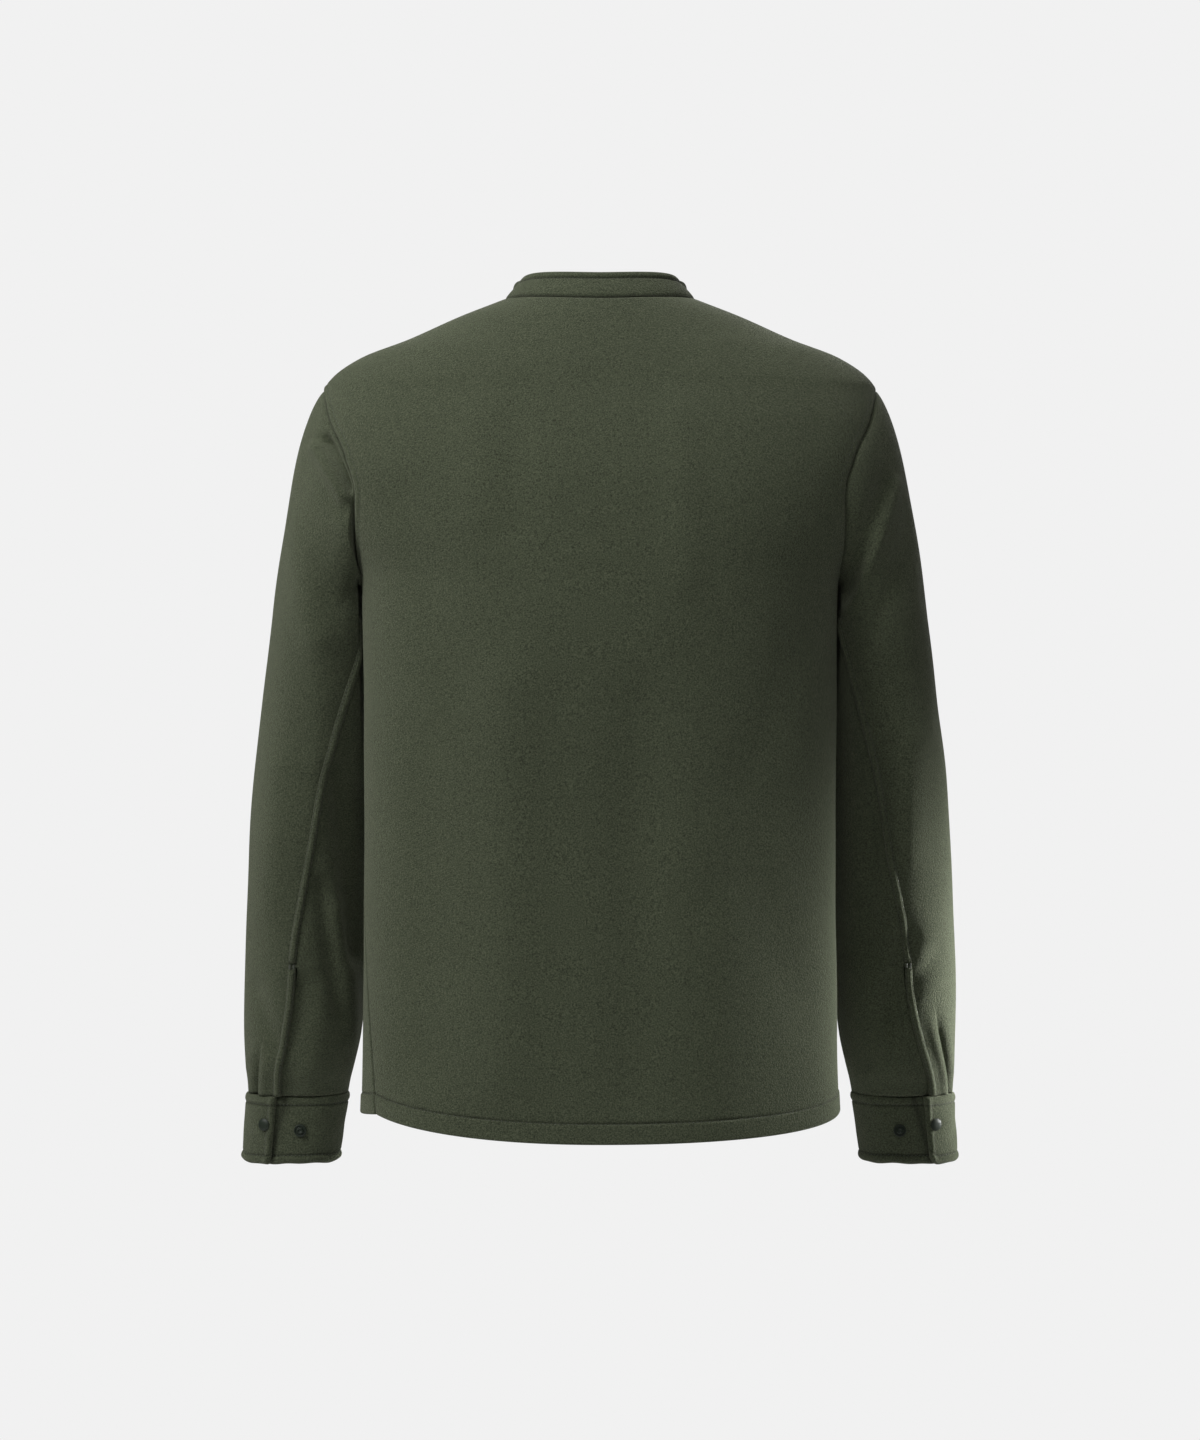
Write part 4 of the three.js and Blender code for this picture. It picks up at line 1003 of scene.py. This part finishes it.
def makeCuff(side, name, cornerRadius):
    # a band that is rounded at its four edges and plump beside each row of stitches
    total = ovalTrack(*cuff["spaced"], cuff["flapDegrees"])[0]
    around = np.r_[0, 0.15, 0.4, 0.8, 1.4, 2, np.linspace(3, 24, 22), np.linspace(26, total + 22, 130)[:-1],
                   np.linspace(total + 22, total + cuff["overlap"], 8)]
    share = np.r_[0, 0.003, 0.008, 0.016, 0.028, np.linspace(0.045, 0.19, 10), np.linspace(0.21, 0.79, 18),
                  np.linspace(0.81, 0.955, 10), 0.972, 0.984, 0.992, 0.997, 1]
    toCorner = cornerRadius - np.clip(around, 0, cornerRadius)
    corner = cornerRadius - np.sqrt(cornerRadius ** 2 - toCorner ** 2)
    faces, normals = [], []
    for s in share:
        face, normal = cuffFace(cuff["top"] - cuff["height"] * s, around)
        faces.append(face)
        normals.append(normal)
    faces, normals = np.array(faces), np.array(normals)
    fromTop = share[:, None] * (cuff["height"] - corner[None])
    fromFoot = (cuff["height"] - corner[None]) - fromTop
    wave = 0.5 * np.sin(around / 9) + 0.35 * np.sin(around / 4.3 + 1 + side)
    wave = wave * smoothStep(0.6, 1, share)[:, None]
    faces[..., 2] = cuff["top"] - fromTop - wave
    ends = np.minimum(around, around[-1] - around)
    rounding = (roundedEdge(fromTop, cuff["topRound"], 0.02) * roundedEdge(fromFoot, cuff["footRound"], 0.02)
                * roundedEdge(ends, cuff["endRound"], 0.02))
    topGroove, footGroove = bell(fromTop, cuff["stitchAt"], 0.9), bell(fromFoot, cuff["stitchAt"], 0.9)
    inside = (fromTop > cuff["stitchAt"]) * (fromFoot > cuff["stitchAt"])
    flapGroove = 0.5 * bell(around, cuff["flapStitchAt"], 1.2) * inside
    puff = 0.7 * bell(fromTop, 4.2, 2.6) + 1.2 * bell(fromFoot, 3.6, 3.2) + 1.6 * bell(around, 3.4, 3)
    puff = puff - 0.8 * topGroove - 0.8 * footGroove - 0.6 * flapGroove
    puff = puff + softWaves(faces[..., 0], faces[..., 2] + faces[..., 1], 21 + side, 40, 0.5)
    seats = (cuff["capDistance"], cuff["capHeight"]), (total + cuff["studDistance"], cuff["studHeight"])
    for distance, z in seats:
        dimple = np.hypot(around - distance, faces[..., 2] - z)
        puff = puff - 0.7 * bell(dimple, 0, 8)
    half = cuff["thick"] / 2
    middle = faces - normals * half
    outer = middle + normals * (rounding * (half + np.maximum(puff, -1.2)))[..., None]
    inner = middle - normals * (rounding * half)[..., None]
    flapEdgeShadow = 0.6 * bell(around, total - 1, 3.5)[None]       # painted shadow on the under end next to the flap's edge
    # painted shade in the stitch grooves, where the pile is also pressed, plus the painted shadow beside the
    # flap
    pressedAndShade = np.clip(0.8 * topGroove + 0.8 * footGroove + 0.6 * flapGroove + flapEdgeShadow, 0, 1) * rounding
    piece = wallPiece(name, outer, inner, pressedAndShade, side=side)
    heights = cuff["stitchAt"], cuff["height"] - cuff["stitchAt"]
    rows = [closest(share * cuff["height"], h) for h in heights]
    column = closest(around, cuff["flapStitchAt"])
    lines = [(outer[r, column:], normals[r, column:]) for r in rows]
    lines.append((outer[rows[0]:rows[1], column], normals[rows[0]:rows[1], column]))
    sewn = stitchPiece(name + "_stitches", [mirrored(side, *line) for line in lines])
    print(name, "made")


makeCuff(1, "cuff_left", 3.0)
makeCuff(-1, "cuff_right", 9.0)

# Snaps: profiles of radius and height turned about their own axis
capProfile = [(0, 0), (4.9, 0), (5.3, 0.15), (5.45, 0.5), (5.4, 0.85), (5.15, 1.1), (4.8, 1.15), (4.6, 1.25),
              (4.1, 1.6), (3.4, 1.9), (2.5, 2.1), (1.3, 2.2), (0, 2.22)]
studProfile = [(0, 0), (5.2, 0), (5.5, 0.2), (5.5, 0.6), (5.3, 1.05), (4.9, 1.3), (4.5, 1.2), (4.25, 0.7),
               (3.7, 0.4), (3.2, 0.5), (2.9, 1.0), (2.7, 1.7), (2.55, 2.2), (2.3, 2.5), (1.95, 2.6),
               (1.65, 2.45), (1.5, 2.1), (1.3, 1.8), (0, 1.75)]
snapSides, snapSeat = 40, 0.4


def makeSnap(name, profile, point, normal):
    # turned body: a ring of points for each row of the profile, closed by a point at each end
    radius, height = np.array(profile[1:-1]).T
    turn = fullTurn(snapSides)
    normal = unit(normal)
    sideways = unit(np.cross(normal, [0, 0, 1.0]))
    upward = np.cross(sideways, normal)
    base = point + normal * snapSeat
    rings = (base + normal * height[:, None, None]
             + radius[:, None, None] * (sideways * np.cos(turn)[:, None] + upward * np.sin(turn)[:, None]))
    poles = np.array([base, base + normal * profile[-1][1]])
    points = np.concatenate([rings.reshape(-1, 3), poles])
    index = np.arange(rings.shape[0] * snapSides).reshape(-1, snapSides)
    beside = np.roll(index, -1, axis=1)
    walls = np.stack([index[:-1], index[1:], beside[1:], beside[:-1]], -1).reshape(-1, 4).tolist()
    foot = np.stack([index[0], beside[0], np.full(snapSides, len(points) - 2)], -1).tolist()
    top = np.stack([beside[-1], index[-1], np.full(snapSides, len(points) - 1)], -1).tolist()
    piece = pieceFrom(name + "_metal", points, walls + foot + top, snapEnamel)
    standFor(name)


def cuffSnapSeat(height, distance):
    # square to the cloth between two points beside it, and above the highest of the three
    before, here, after = cuffFace(height, distance + np.array([-5.5, 0, 5.5]))[0]
    along = after - before
    normal = unit(np.array([-along[1], along[0], 0]))
    return here + normal * (max(0, (before - here) @ normal) + 0.2), normal


for side, word in ((1, "left"), (-1, "right")):
    for kind, profile in (("cap", capProfile), ("stud", studProfile)):
        point, normal = cuffSnapSeat(cuff[kind + "Height"], cuff[kind + "Distance"])
        makeSnap(f"snap_cuff_{word}_{kind}", profile, *mirrored(side, point, normal))

for i, snapZ in enumerate((-98, -206, -314, -422, -530, -636)):
    angle = -angleAtWidth(0, snapZ)
    normal = bodyNormal(angle, snapZ)
    fold = bodyCalm(snapZ) * foldHeight(bodyFolds, 0, snapZ, normal[..., 1])
    point = bodyPoint(angle, snapZ) + normal * (panel["overlapLift"] + 1.9 + fold)
    makeSnap(f"snap_front_{i + 1}", capProfile, point, normal)
collarSeat = closest(neckPlain[:40, 0], 0)
collarSnapRow = closest(collarShare[:, 0], collar["snapShare"])
makeSnap("snap_collar", capProfile, collarBase[collarSnapRow, collarSeat], collarUp[0, collarSeat])
print("snaps made")


# Floor, light and camera
floorDisc = {"radius": 1600, "level": -1500, "sides": 64}


def makeFloor():
    # a flat disc far below the jacket
    material, tree, place = newMaterial("pale matte floor")
    colour = addBlend(tree, addNoise(tree, place, 6, 2), "#ececec", "#f2f2f2")
    addSurface(tree, {"Roughness": 0.9}, {"Base Color": colour.outputs[2]})
    sides, radius = floorDisc["sides"], floorDisc["radius"]
    turn = fullTurn(sides)
    points = np.stack([radius * np.cos(turn), radius * np.sin(turn), np.full(sides, floorDisc["level"])], 1)
    addObject("floor", meshFrom("floor", points, [list(range(sides))], material))


def makeLamp(name, place, target, size, power, spread=np.pi):
    # a round area lamp turned to its target
    lamp = bpy.data.lights.new(name, "AREA")
    lamp.shape = "DISK"
    lamp.size = size
    lamp.energy = power
    lamp.spread = spread
    holder = addObject(name, lamp)
    holder.location = place
    holder.rotation_euler = (Vector(target) - Vector(place)).to_track_quat("-Z", "Y").to_euler()


makeFloor()
makeLamp("left window", (2.0, 1.55, 1.15), (0, 0, -0.25), 1.0, 62)
makeLamp("front fill", (0.0, 2.4, 1.2), (0, 0, -0.25), 1.6, 21)
makeLamp("right edge", (-1.8, -0.4, -0.3), (-0.31, -0.17, -0.59), 0.3, 2.1, 0.27)
makeLamp("far side fill", (-0.7, -2.4, 0.9), (0, 0, -0.35), 2.0, 48)      # lights the hidden front
makeLamp("top", (0.7, 0.6, 1.8), (0, 0, -0.2), 1.2, 22)

world = bpy.data.worlds.new("pale studio")
world.use_nodes = True
world.node_tree.nodes.clear()
path = addNode(world.node_tree, "ShaderNodeLightPath")
strength = addRange(world.node_tree, path.outputs["Is Camera Ray"], {"To Min": 0.12, "To Max": 1.0})
sky = addNode(world.node_tree, "ShaderNodeBackground", {"Color": linearColour("#f1f1f1")},
              {"Strength": strength})
addNode(world.node_tree, "ShaderNodeOutputWorld", {}, {"Surface": sky.outputs[0]})
bpy.context.scene.world = world

camera = bpy.data.cameras.new("camera")
camera.lens = 70.2
camera.sensor_width = 36
viewer = addObject("camera", camera)
viewer.location = (0, 2.4, -0.358)
viewer.rotation_euler = (np.pi / 2, 0, np.pi)
bpy.context.scene.camera = viewer
bpy.context.scene.view_settings.view_transform = "Standard"
print("stage made")
